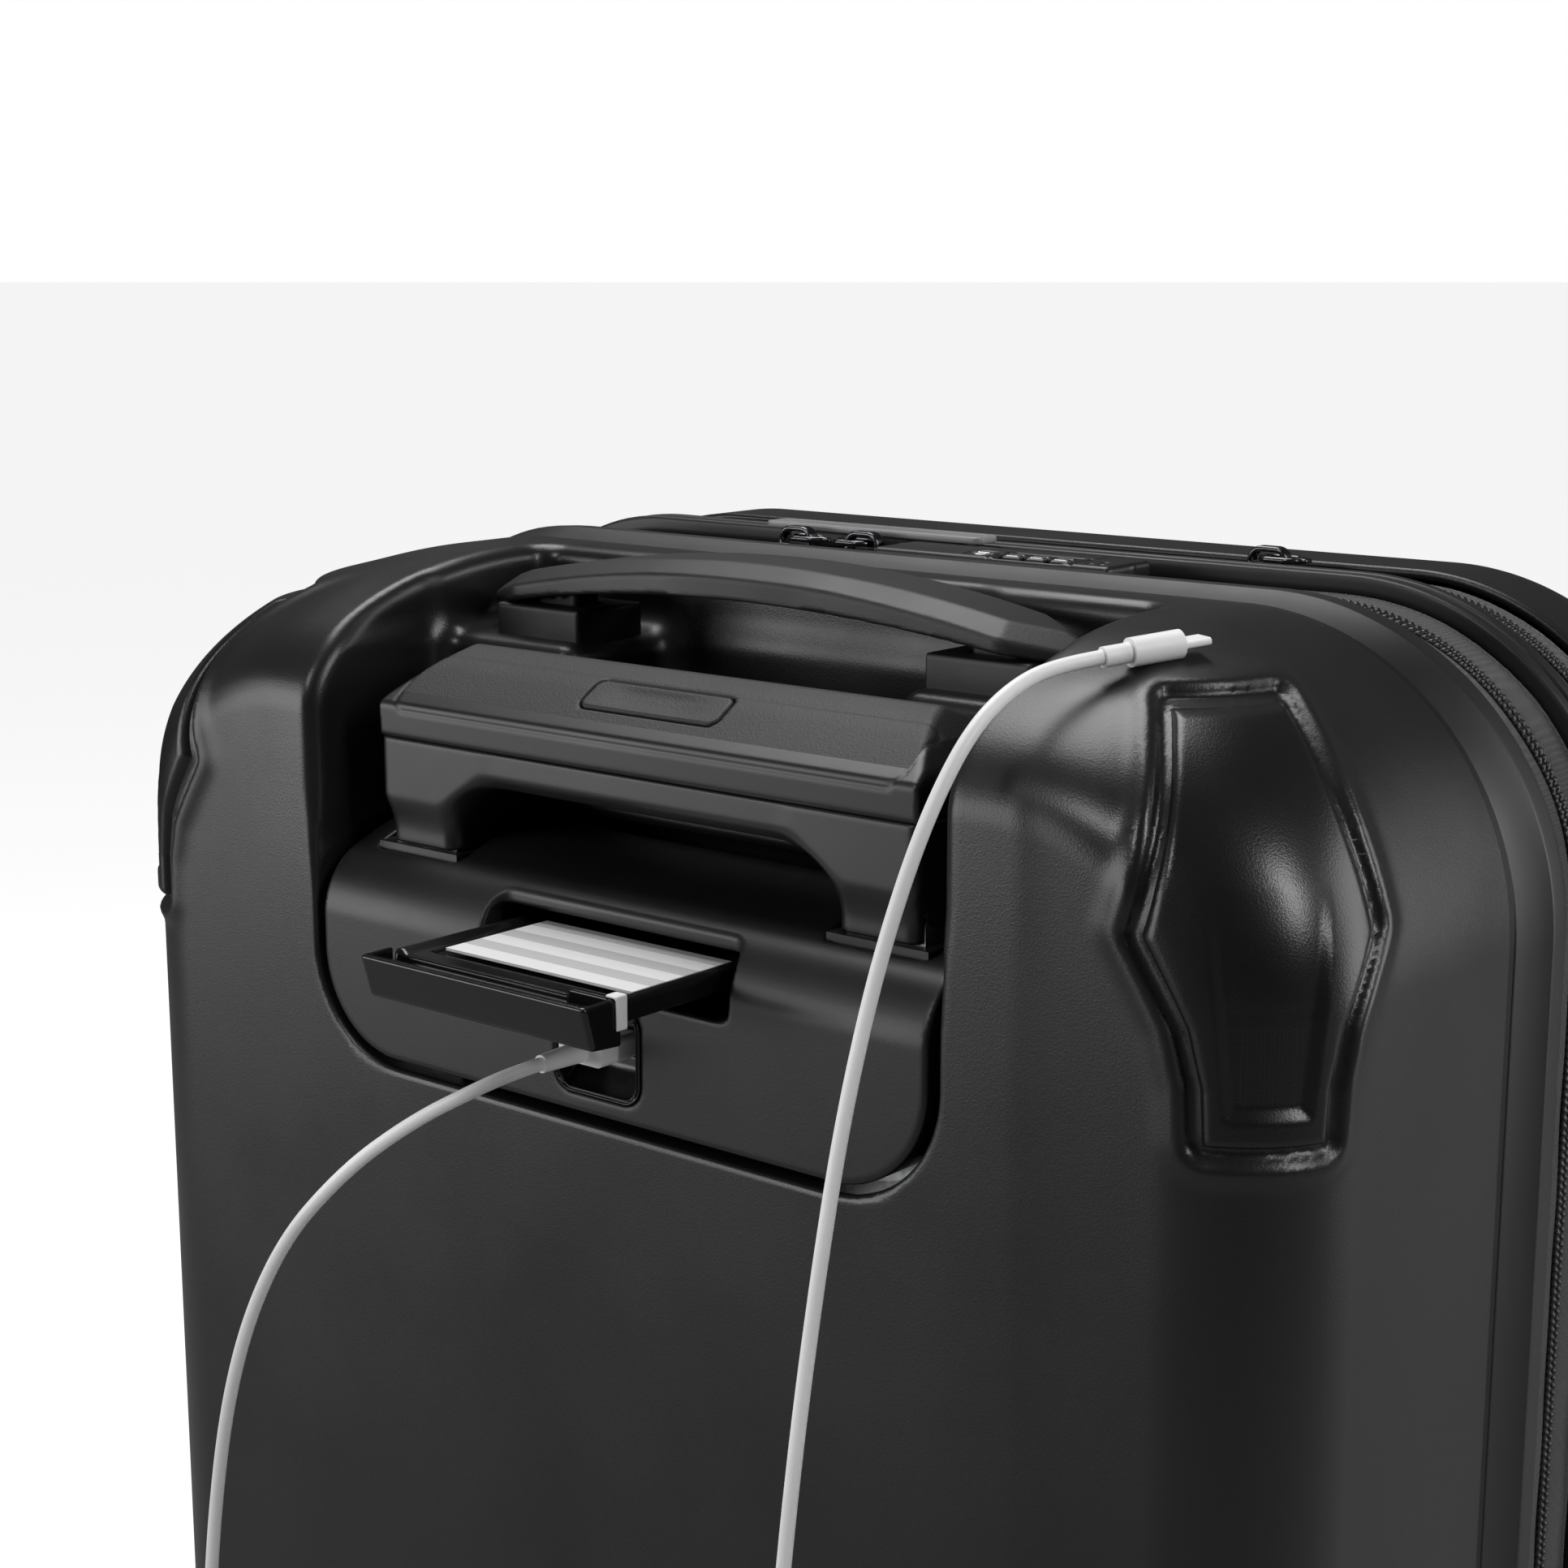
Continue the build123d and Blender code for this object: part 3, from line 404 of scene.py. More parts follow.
def solid(name, field, low, high, cell, body, slot, look, *replaced):
    """A piece meshed from its field on an even grid."""
    lines = [np.arange(a - 1.5 * cell, b + 2.0 * cell, cell, dtype=np.float32) for a, b in zip(low, high)]
    return dress(mesh_piece(name, *skin(field, *lines)), body, slot, look, *replaced)


def mirrored(piece, name, body, slot, look, *replaced):
    data = piece.data.copy()
    data.transform(Matrix.Diagonal((-1, 1, 1, 1)))
    data.flip_normals()
    return dress(add(name, data), body, slot, look, *replaced)


def thicken(piece, thickness):
    """Gives an open skin a wall on its inner side."""
    wall = piece.modifiers.new("wall", "SOLIDIFY")
    wall.thickness = thickness
    wall.offset = -1.0
    wall.use_even_offset = False
    data = bpy.data.meshes.new_from_object(piece.evaluated_get(bpy.context.evaluated_depsgraph_get()))
    piece.modifiers.clear()
    piece.data = data
    data.polygons.foreach_set("use_smooth", np.ones(len(data.polygons), bool))


def convex(u, v, points, r):
    """A convex outline, given anticlockwise, with its corners rounded to r."""
    total = None
    for (au, av), (bu, bv) in zip(points, points[1:] + points[:1]):
        length = math.hypot(bu - au, bv - av)
        side = ((u - au) * (bv - av) - (v - av) * (bu - au)) / length
        total = side if total is None else smooth_max(total, side, r)
    return total


# ---------- bands round the case
def loop(half_w, low, high, r_high, r_low, pitch):
    """Evenly spaced points and outward normals round a case outline."""
    places, normals = [], []
    corners = ((1, 1, high, r_high), (-1, 1, high, r_high), (-1, -1, low, r_low), (1, -1, low, r_low))
    for quarter, (side, up, z, r) in enumerate(corners):
        cx, cz = side * (half_w - r), z - up * r
        for angle in np.linspace(quarter * math.pi / 2, (quarter + 1) * math.pi / 2, 25):
            places.append((cx + r * math.cos(angle), cz + r * math.sin(angle)))
            normals.append((math.cos(angle), math.sin(angle)))
    places, normals = np.array(places + places[:1]), np.array(normals + normals[:1])
    travel = np.concatenate([[0], np.cumsum(np.hypot(*np.diff(places, axis=0).T))])
    count = int(round(travel[-1] / pitch))
    at = np.arange(count) * travel[-1] / count
    point = np.stack([np.interp(at, travel, places[:, n]) for n in (0, 1)], 1)
    normal = np.stack([np.interp(at, travel, normals[:, n]) for n in (0, 1)], 1)
    return point, normal / np.hypot(*normal.T)[:, None], at


def band(name, outline, profile, pitch=3.0, sway=None):
    """A closed band: (outward, Y) profile points swept round an outline; sway(at) moves it outward."""
    point, normal, at = loop(*outline, pitch)
    profile = np.array(profile, float)
    rings, sides = len(point), len(profile)
    out = profile[None, :, 0] + (0 if sway is None else sway(at)[:, None])
    verts = np.empty((rings, sides, 3))
    verts[:, :, 0] = point[:, None, 0] + normal[:, None, 0] * out
    verts[:, :, 2] = point[:, None, 1] + normal[:, None, 1] * out
    verts[:, :, 1] = profile[None, :, 1]
    i, j = np.meshgrid(np.arange(rings), np.arange(sides), indexing="ij")
    after_i, after_j = (i + 1) % rings, (j + 1) % sides
    i, after_i = i * sides, after_i * sides
    faces = np.stack([i + j, after_i + j, after_i + after_j, i + after_j], -1)
    return mesh_piece(name, verts.reshape(-1, 3), faces.reshape(-1, 4))


TRIM = (201.0, 54.0, 547.0, 79.0, 54.0)
BAND = (196.0, 59.5, 541.5, 74.0, 49.0)


def curve_through(points):
    """Rounds a profile by cutting its corners twice."""
    points = np.array(points, float)
    for _ in range(2):
        after = np.roll(points, -1, axis=0)
        points = np.stack([0.75 * points + 0.25 * after, 0.25 * points + 0.75 * after], 1).reshape(-1, 2)
    return points


# (outward, Y) outlines of the two rubber extrusions
BACK_TRIM = [(-6.8, 8.0), (-4.6, 8.0), (-4.3, 8.5), (-4.1, 9.4), (-3.2, 12.5), (-1.7, 16.5),
             (-0.35, 19.3), (-0.1, 19.7), (0.0, 20.3), (-0.1, 22.5), (-0.5, 27.6), (-0.8, 28.5),
             (-1.6, 29.0), (-6.8, 29.0)]
LID_TRIM = [(-6.8, 60.0), (-1.4, 60.0), (-0.4, 60.3), (0.0, 61.0), (0.0, 63.6), (-0.3, 64.4), (-1.3, 64.8),
            (-1.9, 65.3), (-1.9, 65.9), (-1.3, 66.3), (-0.3, 66.7), (0.0, 67.4), (0.0, 69.6), (-0.4, 70.6),
            (-1.4, 71.0), (-6.8, 71.0)]


def trims():
    """Rubber extrusions: a slanted face that rises from the shell to a crest, and a double-ridged one."""
    case_trim = band("back_trim_extrusion", TRIM, curve_through(BACK_TRIM), 4.0)
    dress(case_trim, "case", "trim", look_rubber, "back_trim")
    lid_trim = band("lid_trim_extrusion", TRIM, curve_through(LID_TRIM), 4.0)
    dress(lid_trim, "lid", "trim", look_rubber, "lid_trim")


def tape(name, start, end, body, node):
    """Woven zip tape between a trim and its coil, with stitching pulled into it."""
    profile = [(-2.0, start), (0.3, start), (-0.2, start + 1.2), (0.2, start + 2.4), (0.15, end - 2.4),
               (-0.1, end - 1.2), (0.2, end), (-2.0, end)]
    piece = band(name, BAND, profile, 2.5, lambda at: 0.18 * np.sin(at / 7.0) * np.sin(at / 31.0 + start))
    dress(piece, body, "webbing", look_weave, node)


def coil(name, middle, way, body):
    """Half of a nylon coil: a row of rounded turns sewn to the tape's edge."""
    turn = 2.0
    profile = [(0.95 * math.cos(a), middle + way * 1.15 + 1.15 * math.sin(a))
               for a in np.linspace(0, 2 * math.pi, 9)[:-1]]
    base = (BAND[0] + 0.25, BAND[1] - 0.25, BAND[2] + 0.25, BAND[3] + 0.25, BAND[4] + 0.25)
    piece = band(name, base, profile, turn / 4, lambda at: 0.32 * np.sin(2 * math.pi * at / turn))
    dress(piece, body, "webbing", look_coil)


# ---------- shells
def shells():
    rows = steps(55, 548, (55, 110, 3.0), (404, 418, 1.2), (418, 548, 1.6), coarse=8)
    back = mesh_piece("back_shell_moulding", *skin(
        back_surface,
        steps(-200, 200, (-200, -135, 1.6), (-118, -96, 1.2), (-64, -48, 1.5), (48, 64, 1.5),
              (96, 118, 1.2), (135, 200, 1.6), coarse=3.5),
        steps(-103, SEAM_MM + 0.05, (-103, -86, 1.2), (-86, -40, 1.8), (-12, -2, 1.2), coarse=3), rows))
    thicken(back, 2.4 * MM)
    dress(back, "case", "shell", look_shell, "back_shell")
    guard = solid("guard_right_moulding", guard_surface, (140, -101, 441), (197, -44, 534), 0.8,
                  "case", "guard", look_guard, "corner_guard_right")
    front = mesh_piece("front_shell_moulding", *skin(
        front_surface,
        steps(-200, 200, (-200, -170, 2), (-160, 160, 2.5), (170, 200, 2), coarse=3),
        steps(FRONT_SEAM_MM - 0.05, FRONT_MM + 3, (FRONT_MM - 28, FRONT_MM + 3, 1.6), coarse=3),
        steps(55, 548, (55, 125, 2.5), (480, 548, 2.5), coarse=8)))
    thicken(front, 2.4 * MM)
    dress(front, "front", "shell", look_shell, "front_shell")
    mirrored(guard, "guard_left_moulding", "case", "guard", look_guard, "corner_guard_left")


# ---------- trolley housing, port and tray
TUBE_X_MM, TUBE_Y_MM, PORT_MM = 79.5, BACK_MM + 26.5, 432.0
TRAY_TIP_MM = -45.0   # the tray's lip, from the back plane


def housing_field(p):
    x, y, z = p
    off = y - BACK_MM
    side = smooth_max(-off, ((off - 12) * -7 + (z - 468) * 18) / 19.31, 12)
    side = smooth_max(side, z - 475, 4)
    side = smooth_max(side, off - 48, 1)
    body = smooth_max(side, plate(x, z, 104.3, 413.0, 900.0, 1.0, 28.0)[0], 1.2)
    body = carve(body, block(p, (-42, -300, 446.4), (44, BACK_MM + 56, 461.8), 2.5), 0.7)
    body = carve(body, block(p, (-42, -300, 446.4), (44, BACK_MM + 8, 700), 5), 1.0)
    tube = block((np.abs(x), y, z), (TUBE_X_MM - 16.1, TUBE_Y_MM - 14.1, 464),
                 (TUBE_X_MM + 16.1, TUBE_Y_MM + 14.1, 700), 4)
    body = carve(body, tube, 1.0)
    port = extruded(plate(x, z, 15.0, 418.0, 444.0, 6.0, 6.0)[0], y, -300, BACK_MM + 10, 1)
    body = carve(body, port, 0.8)
    return body


def bezel_field(p):
    x, y, z = p
    outer = extruded(plate(x, z, 14.8, 418.2, 443.8, 5.8, 5.8)[0], y, BACK_MM - 0.3, BACK_MM + 9.6, 0.4)
    lip = extruded(plate(x, z, 13.0, 420.0, 442.0, 4.2, 4.2)[0], y, BACK_MM - 9, BACK_MM + 1.0, 0.3)
    well_in = extruded(plate(x, z, 13.4, 419.6, 442.4, 4.4, 4.4)[0], y, BACK_MM - 9, BACK_MM + 8.0, 1.0)
    floor = ((y - BACK_MM - 8.0) * 0.6 + (424.5 - z) * 0.8)
    hollow = smooth_min(lip, smooth_max(well_in, floor, 1.0), 0.3)
    socket = block(p, (-7.5, BACK_MM, PORT_MM - 3.6), (7.5, BACK_MM + 15, PORT_MM + 3.6), 0.6)
    groove = np.abs(plate(x, z, 14.1, 418.9, 443.1, 5.1, 5.1)[0]) - 0.22
    groove = np.maximum(groove, y - BACK_MM - 0.35)
    return carve(carve(carve(outer, hollow, 0.4), socket, 0.3), groove, 0.05)


def tray_field(p):
    x, y, z = p
    off = y - BACK_MM
    tip = TRAY_TIP_MM
    lip = convex(off, z, [
        (tip, 458.8), (tip + 3.2, 447.6), (tip + 13.2, 446.8), (tip + 13.0, 459.0)], 0.9)
    lip = extruded(lip, x, -38.2, 39.2, 1.2)
    place = (x, off, z)
    lip = carve(lip, block(place, (-36.4, tip + 2.4, 452.2), (37.4, tip + 10.6, 470), 1.2), 0.5)
    lip = carve(lip, block(place, (-60, tip + 10.0, 455.0), (24, tip + 14.5, 470), 1.0), 0.6)
    bed = block(place, (-37.5, tip + 11, 452.0), (38.5, 12, 457.3), 1.0)
    bed = carve(bed, block(place, (-30.5, tip + 17.5, 456.4), (37.0, 11.5, 470), 1.0), 0.4)
    rail = np.hypot(np.abs(x - 0.5) - 36.6, z - 456.4) - 1.9
    rail = np.maximum(rail, np.abs(off - (tip + 34)) - 22)
    bed = smooth_min(bed, rail, 1.2)
    return smooth_min(lip, bed, 1.0)


def card_tab_field(p):
    """The white strap that holds the card's end, folded over the tray's right rim."""
    x, y, z = p
    off = y - BACK_MM - TRAY_TIP_MM
    outer = block((x, off, z), (36.2, 10.4, 451.0), (39.9, 14.4, 459.7), 0.5)
    inner = block((x, off, z), (30.0, 0.0, 440.0), (39.35, 20.0, 459.1), 0.4)
    return np.maximum(outer, -inner)


# ---------- trolley grip
GRIP_SECTION = [(12, 500.0), (50, 500.0), (49.8, 513), (46, 520.5), (37.5, 524), (28.5, 520.8),
                (18.5, 514.7), (11.6, 509.4)]
SLOPE = math.atan2(5.9, 10.0)
BUTTON_OFF, BUTTON_UP = 23.5, 517.65


def on_slope(p):
    """Coordinates on the grip's slanted face: across, up the slope, and out of it."""
    off, up = p[1] - BACK_MM - BUTTON_OFF, p[2] - BUTTON_UP
    return p[0], off * math.cos(SLOPE) + up * math.sin(SLOPE), -off * math.sin(SLOPE) + up * math.cos(SLOPE)


def grip_base_field(p):
    x, y, z = p
    off = y - BACK_MM
    bar = convex(off, z, [
        (12, 493.5), (15, 490), (46, 490), (49.8, 494), (49.8, 500.1), (12, 500.1)], 0.5)
    lean = np.abs(x) + (490 - z) * 0.05
    leg = plate(lean - 79.8, off, 13.2, 14, 39, 5, 5)[0]
    leg = smooth_max(leg, 470.4 - z, 0.5)
    leg = smooth_max(leg, z - 505, 5)
    both = smooth_min(bar, leg, 20)
    both = smooth_max(both, 12 - off, 1)
    both = smooth_max(both, np.abs(x) - 92.5, 3)
    both = smooth_max(both, z - 500.05, 0.5)
    rods = block((np.abs(x) - TUBE_X_MM, y - TUBE_Y_MM, z), (-11.8, -9.8, 400), (11.8, 9.8, 480), 1)
    return np.maximum(both, -rods)


def grip_top_field(p):
    x, y, z = p
    off = y - BACK_MM
    bar = convex(off, z, GRIP_SECTION, 1.1)
    ends = smooth_max(np.abs(x) - 92.5, (np.abs(x) - 86.5 + (z - 517) * 0.9) * 0.743, 2)
    bar = smooth_max(bar, ends, 1.3)
    a, s, n = on_slope(p)
    # the soft insert starts behind a fine groove on the slanted face
    inset = plate(a, s + 8.5, 86.5, -6.5, 15.0, 4.0, 4.0)[0]
    bar = bar + 0.35 * hump(inset, 0, 0.45) * (n > -3) - 0.12 * unit(0.5 - inset) * (n > -3)
    hole = extruded(plate(a, s, 23.9, -5.9, 5.9, 3.2, 3.2)[0], n, -8.3, 30, 0.4)
    return carve(bar, hole, 0.45)


def button_field(p):
    a, s, n = on_slope(p)
    body = extruded(plate(a, s, 23.4, -5.4, 5.4, 2.8, 2.8)[0], n, -5.0, 0.25, 0.8)
    dish = 0.55 * np.exp(-((a / 15.0) ** 4 + (s / 3.6) ** 4))
    return body + dish * (n > -2)


# ---------- carry handle
def handle_field(p):
    """An arched bar with a flat crest, bevels along both sides, pointed ends and a ribbed underside."""
    x, y, z = p
    off = y - BACK_MM
    top = np.hypot(x, z - (550.0 - 414.5)) - 414.5
    under = 541.6 - np.hypot(x, z - (540.5 - 541.6))
    plan = convex(x, off, [
        (-103.5, 68), (-84, 55), (-30, 53.2), (30, 53.2), (84, 55), (103.5, 68), (103.5, 72), (84, 84),
        (30, 85.8), (-30, 85.8), (-84, 84), (-103.5, 72)], 1.2)
    bevel = (top + plan * 0.55 + 3.6) * 0.876
    body = smooth_max(smooth_max(top, bevel, 0.35), plan, 0.7)
    ribs = 0.5 * np.cos(2 * math.pi * x / 5.0) * unit((82 - np.abs(x)) / 6)
    ribs = ribs * unit(-plan / 3 - 0.6)
    body = smooth_max(body, under + ribs, 0.7)
    leg = block((np.abs(x), off, z), (68.2, 65.2, 514.3), (83.8, 74.8, 540), 1.5)
    return smooth_min(body, leg, 1.5)


def anchor_field(p):
    x, y, z = p
    off = y - BACK_MM
    pad = block((np.abs(x), off, z), (60, 57, 520), (92, 83.5, 532.3), 1.0)
    slit = block((np.abs(x), off, z), (67.6, 64.6, 500), (84.4, 75.4, 560), 1.5)
    return carve(pad, slit, 0.6)


# ---------- materials
def math_node(tree, kind, a, b=None):
    """One Math node; a and b are sockets or numbers."""
    node = tree.nodes.new("ShaderNodeMath")
    node.operation = kind
    for socket, value in zip(node.inputs, (a, b)):
        if value is None:
            continue
        if isinstance(value, (int, float)):
            socket.default_value = value
        else:
            tree.links.new(value, socket)
    return node.outputs[0]


def times(tree, a, b):
    return math_node(tree, "MULTIPLY", a, b)


def plus(tree, a, b):
    return math_node(tree, "ADD", a, b)


def fresh(name, colour, roughness, **facts):
    """A material, its nodes, its shader and its object coordinates."""
    look = bpy.data.materials.new(name)
    look.use_nodes = True
    shader = look.node_tree.nodes["Principled BSDF"]
    set_inputs(shader, Base_Color=(*colour, 1), Roughness=roughness, **facts)
    where = look.node_tree.nodes.new("ShaderNodeTexCoord").outputs["Object"]
    return look, look.node_tree, shader, where


def axes(tree, where):
    split = tree.nodes.new("ShaderNodeSeparateXYZ")
    tree.links.new(where, split.inputs[0])
    return split.outputs


def noise(tree, where, scale, detail=3.0, stretch=None):
    if stretch:
        scaled = tree.nodes.new("ShaderNodeVectorMath")
        scaled.operation = "MULTIPLY"
        tree.links.new(where, scaled.inputs[0])
        scaled.inputs[1].default_value = stretch
        where = scaled.outputs[0]
    node = tree.nodes.new("ShaderNodeTexNoise")
    set_inputs(node, Scale=scale, Detail=detail)
    tree.links.new(where, node.inputs["Vector"])
    return node.outputs["Fac"]


def cells(tree, where, scale):
    node = tree.nodes.new("ShaderNodeTexVoronoi")
    set_inputs(node, Scale=scale)
    tree.links.new(where, node.inputs["Vector"])
    return node.outputs["Distance"]


def vary_roughness(tree, shader, fac, low, high):
    spread = tree.nodes.new("ShaderNodeMapRange")
    tree.links.new(fac, spread.inputs["Value"])
    set_inputs(spread, From_Min=0.3, From_Max=0.7, To_Min=low, To_Max=high)
    tree.links.new(spread.outputs[0], shader.inputs["Roughness"])


def vary_colour(tree, shader, fac, *stops):
    ramp = tree.nodes.new("ShaderNodeValToRGB")
    elements = ramp.color_ramp.elements
    while len(elements) < len(stops):
        elements.new(0.5)
    for element, (at, colour) in zip(elements, stops):
        element.position = at
        element.color = (*colour, 1)
    tree.links.new(fac, ramp.inputs["Fac"])
    tree.links.new(ramp.outputs["Color"], shader.inputs["Base Color"])


def raise_surface(tree, shader, height, strength, depth):
    bump = tree.nodes.new("ShaderNodeBump")
    set_inputs(bump, Strength=strength, Distance=depth)
    tree.links.new(height, bump.inputs["Height"])
    tree.links.new(bump.outputs["Normal"], shader.inputs["Normal"])


def plastic(name, colour, roughness, grain, strength, spread=0.05):
    """Moulded plastic: a fine grain of small cells broken up by noise, with faint handling marks."""
    look, tree, shader, where = fresh(name, colour, roughness)
    small = times(tree, cells(tree, where, grain), 0.6)
    broken = times(tree, noise(tree, where, grain * 0.8, 2.0), 0.8)
    height = plus(tree, small, broken)
    raise_surface(tree, shader, height, strength, 0.00006)
    soft = noise(tree, where, 23.0, 4.0)
    vary_roughness(tree, shader, soft, roughness - spread, roughness + spread)
    light, dark = [c * 1.12 for c in colour], [c * 0.88 for c in colour]
    vary_colour(tree, shader, noise(tree, where, 9.0, 2.0), (0.3, dark), (0.7, light))
    return look


def woven(name, low, high, pitch, sheen=0.25):
    """Black tape: threads that cross, drawn from height and depth round the case, with a little fuzz. Its
    colour follows the threads' height, as painted shade between the threads and painted sheen on their
    crests.
    """
    look, tree, shader, where = fresh(name, low, 0.82, Sheen_Weight=sheen, Sheen_Roughness=0.5)
    x, y, z = axes(tree, where)
    turn = 2 * math.pi / pitch
    wobble = times(tree, noise(tree, where, 180.0, 2.0), 1.6)
    around = plus(tree, times(tree, plus(tree, x, z), turn), wobble)
    across = times(tree, y, turn)
    warp = math_node(tree, "SINE", plus(tree, around, across))
    weft = math_node(tree, "SINE", math_node(tree, "SUBTRACT", around, across))
    threads = times(tree, warp, weft)
    fuzz = noise(tree, where, 2600.0, 3.0)
    height = plus(tree, times(tree, threads, 0.5), fuzz)
    raise_surface(tree, shader, height, 0.7, 0.0004)
    # painted shade and sheen: the colour is darker where the threads dip and lighter on their crests
    vary_colour(tree, shader, times(tree, height, 0.75), (0.25, low), (0.75, high))
    return look


def brushed(name, colour, roughness, stretch, strength=0.25):
    """Drawn or brushed metal, its fine lines running along the short side of the stretch."""
    look, tree, shader, where = fresh(name, colour, roughness, Metallic=1.0)
    lines = noise(tree, where, 900.0, 3.0, stretch)
    vary_roughness(tree, shader, lines, roughness - 0.07, roughness + 0.1)
    raise_surface(tree, shader, lines, strength, 0.00003)
    light, dark = [min(c * 1.1, 1) for c in colour], [c * 0.9 for c in colour]
    vary_colour(tree, shader, noise(tree, where, 60.0, 2.0), (0.3, dark), (0.7, light))
    return look


def printed_card(name):
    """Stiff card with wide pale writing bands along its length."""
    look, tree, shader, where = fresh(name, (0.8, 0.8, 0.8), 0.55)
    depth = math_node(tree, "SUBTRACT", axes(tree, where)[1], (BACK_MM + CARD_OFF[0]) * MM)
    depth = math_node(tree, "DIVIDE", depth, (CARD_OFF[1] - CARD_OFF[0]) * MM)
    fraction = math_node(tree, "FRACT", times(tree, depth, 3.0))
    grey = math_node(tree, "GREATER_THAN", fraction, 0.52)
    paper = times(tree, noise(tree, where, 500.0, 3.0), 0.12)
    mix = plus(tree, times(tree, grey, 0.7), paper)
    vary_colour(tree, shader, mix, (0.0, (0.83, 0.83, 0.83)), (0.8, (0.52, 0.52, 0.52)))
    raise_surface(tree, shader, paper, 0.1, 0.0001)
    return look


def soft_grip(name):
    """The grip's two plastics: a smooth satin body and a pebbled soft insert along its slope and crest."""
    look, tree, shader, where = fresh(name, (0.011, 0.011, 0.012), 0.4)
    x, y, z = axes(tree, where)
    climb = plus(tree, times(tree, y, math.cos(SLOPE)), times(tree, z, math.sin(SLOPE)))
    start = ((BACK_MM + BUTTON_OFF) * math.cos(SLOPE) + BUTTON_UP * math.sin(SLOPE) - 9.6) * MM
    above = math_node(tree, "GREATER_THAN", climb, start)
    across = math_node(tree, "LESS_THAN", math_node(tree, "ABSOLUTE", x), 86.6 * MM)
    soft = times(tree, above, across)
    pebble = plus(tree, cells(tree, where, 1500.0), noise(tree, where, 1700.0, 2.0))
    fine = times(tree, noise(tree, where, 2400.0, 2.0), 0.12)
    height = plus(tree, times(tree, pebble, soft), fine)
    raise_surface(tree, shader, height, 0.6, 0.00009)
    wear = times(tree, noise(tree, where, 26.0, 3.0), 0.1)
    rough = plus(tree, times(tree, soft, 0.2), wear)
    tree.links.new(plus(tree, rough, 0.33), shader.inputs["Roughness"])
    vary_colour(tree, shader, soft, (0.0, (0.007, 0.007, 0.0075)), (1.0, (0.011, 0.011, 0.0115)))
    return look


def dial_look(name):
    """Black number wheels with a pale generic tick between every two notches."""
    look, tree, shader, where = fresh(name, (0.012, 0.012, 0.012), 0.3)
    x, y, z = axes(tree, where)
    angle = math_node(tree, "ARCTAN2", math_node(tree, "SUBTRACT", z, DIAL_Z_MM * MM),
                      math_node(tree, "SUBTRACT", y, LOCK_MID_MM * MM))
    tick = math_node(tree, "COSINE", times(tree, angle, 10.0))
    tick = math_node(tree, "GREATER_THAN", tick, 0.86)
    turn = 2 * math.pi / (8.0 * MM)
    middle = times(tree, math_node(tree, "SUBTRACT", x, 40 * MM), turn)
    narrow = math_node(tree, "GREATER_THAN", math_node(tree, "COSINE", middle), 0.1)
    vary_colour(tree, shader, times(tree, tick, narrow), (0.3, (0.012, 0.012, 0.012)),
                (0.7, (0.8, 0.8, 0.8)))
    raise_surface(tree, shader, noise(tree, where, 1500.0, 2.0), 0.1, 0.00005)
    return look


CARD_OFF = (-25.0, 11.0)
DIAL_Z_MM, LOCK_MID_MM = 542.3, 36.25

BLACK, DEEP_BLACK = (0.0105, 0.0105, 0.0112), (0.006, 0.006, 0.0064)
look_shell = plastic("satin_polycarbonate", BLACK, 0.33, 2100.0, 0.5)
look_guard = plastic("guard_polycarbonate", DEEP_BLACK, 0.31, 2100.0, 0.5)
look_panel = plastic("panel_abs", DEEP_BLACK, 0.4, 1700.0, 0.26)
look_gloss = plastic("tray_gloss_black", (0.006, 0.006, 0.006), 0.24, 1100.0, 0.14)
look_rubber = plastic("trim_rubber", (0.010, 0.010, 0.0105), 0.46, 2100.0, 0.2, spread=0.06)
look_handle = plastic("handle_soft_touch", (0.010, 0.010, 0.0105), 0.5, 1700.0, 0.4)
look_anchor = plastic("anchor_nylon", DEEP_BLACK, 0.5, 1900.0, 0.2)
look_coil = plastic("zip_coil_nylon", (0.008, 0.008, 0.008), 0.38, 2600.0, 0.2)
look_wheel = plastic("wheel_polyurethane", (0.02, 0.02, 0.021), 0.5, 1400.0, 0.35, spread=0.1)
look_hub = plastic("fork_nylon", (0.013, 0.013, 0.014), 0.42, 1500.0, 0.25)
look_cable = plastic("port_cable_black", (0.01, 0.01, 0.01), 0.5, 1500.0, 0.2)
look_collar = plastic("collar_satin", (0.012, 0.012, 0.0125), 0.36, 1900.0, 0.2)
look_lever = plastic("lever_grey", (0.26, 0.26, 0.265), 0.3, 2200.0, 0.12)
look_lead = plastic("lead_white_tpe", (0.92, 0.92, 0.93), 0.42, 2200.0, 0.06)
look_weave = woven("zip_tape_weave", (0.008, 0.008, 0.008), (0.05, 0.05, 0.052), 1.15 * MM)
look_lining = woven("lining_twill", (0.03, 0.031, 0.034), (0.085, 0.088, 0.095), 1.4 * MM, 0.4)
look_aluminium = brushed("tube_aluminium", (0.36, 0.365, 0.375), 0.38, (1, 1, 0.02))
look_gunmetal = brushed("gunmetal", (0.09, 0.09, 0.095), 0.2, (0.3, 1, 1), 0.08)
look_plated = brushed("plated_steel", (0.6, 0.6, 0.6), 0.22, (1, 1, 1), 0.08)
look_card = printed_card("tag_card_print")
look_grip = soft_grip("grip_two_plastics")
look_dial = dial_look("dial_ticks")


# ---------- zip sliders and pulls
# name, X and Y of each slider, and which way its ring lies
ZIPS = (("left", -52.0, 43.75, 1), ("right", -27.0, 43.75, -1), ("expander", 84.0, 85.0, 1))
SLIDER_LOW = 543.0
RING_UP = 3.4


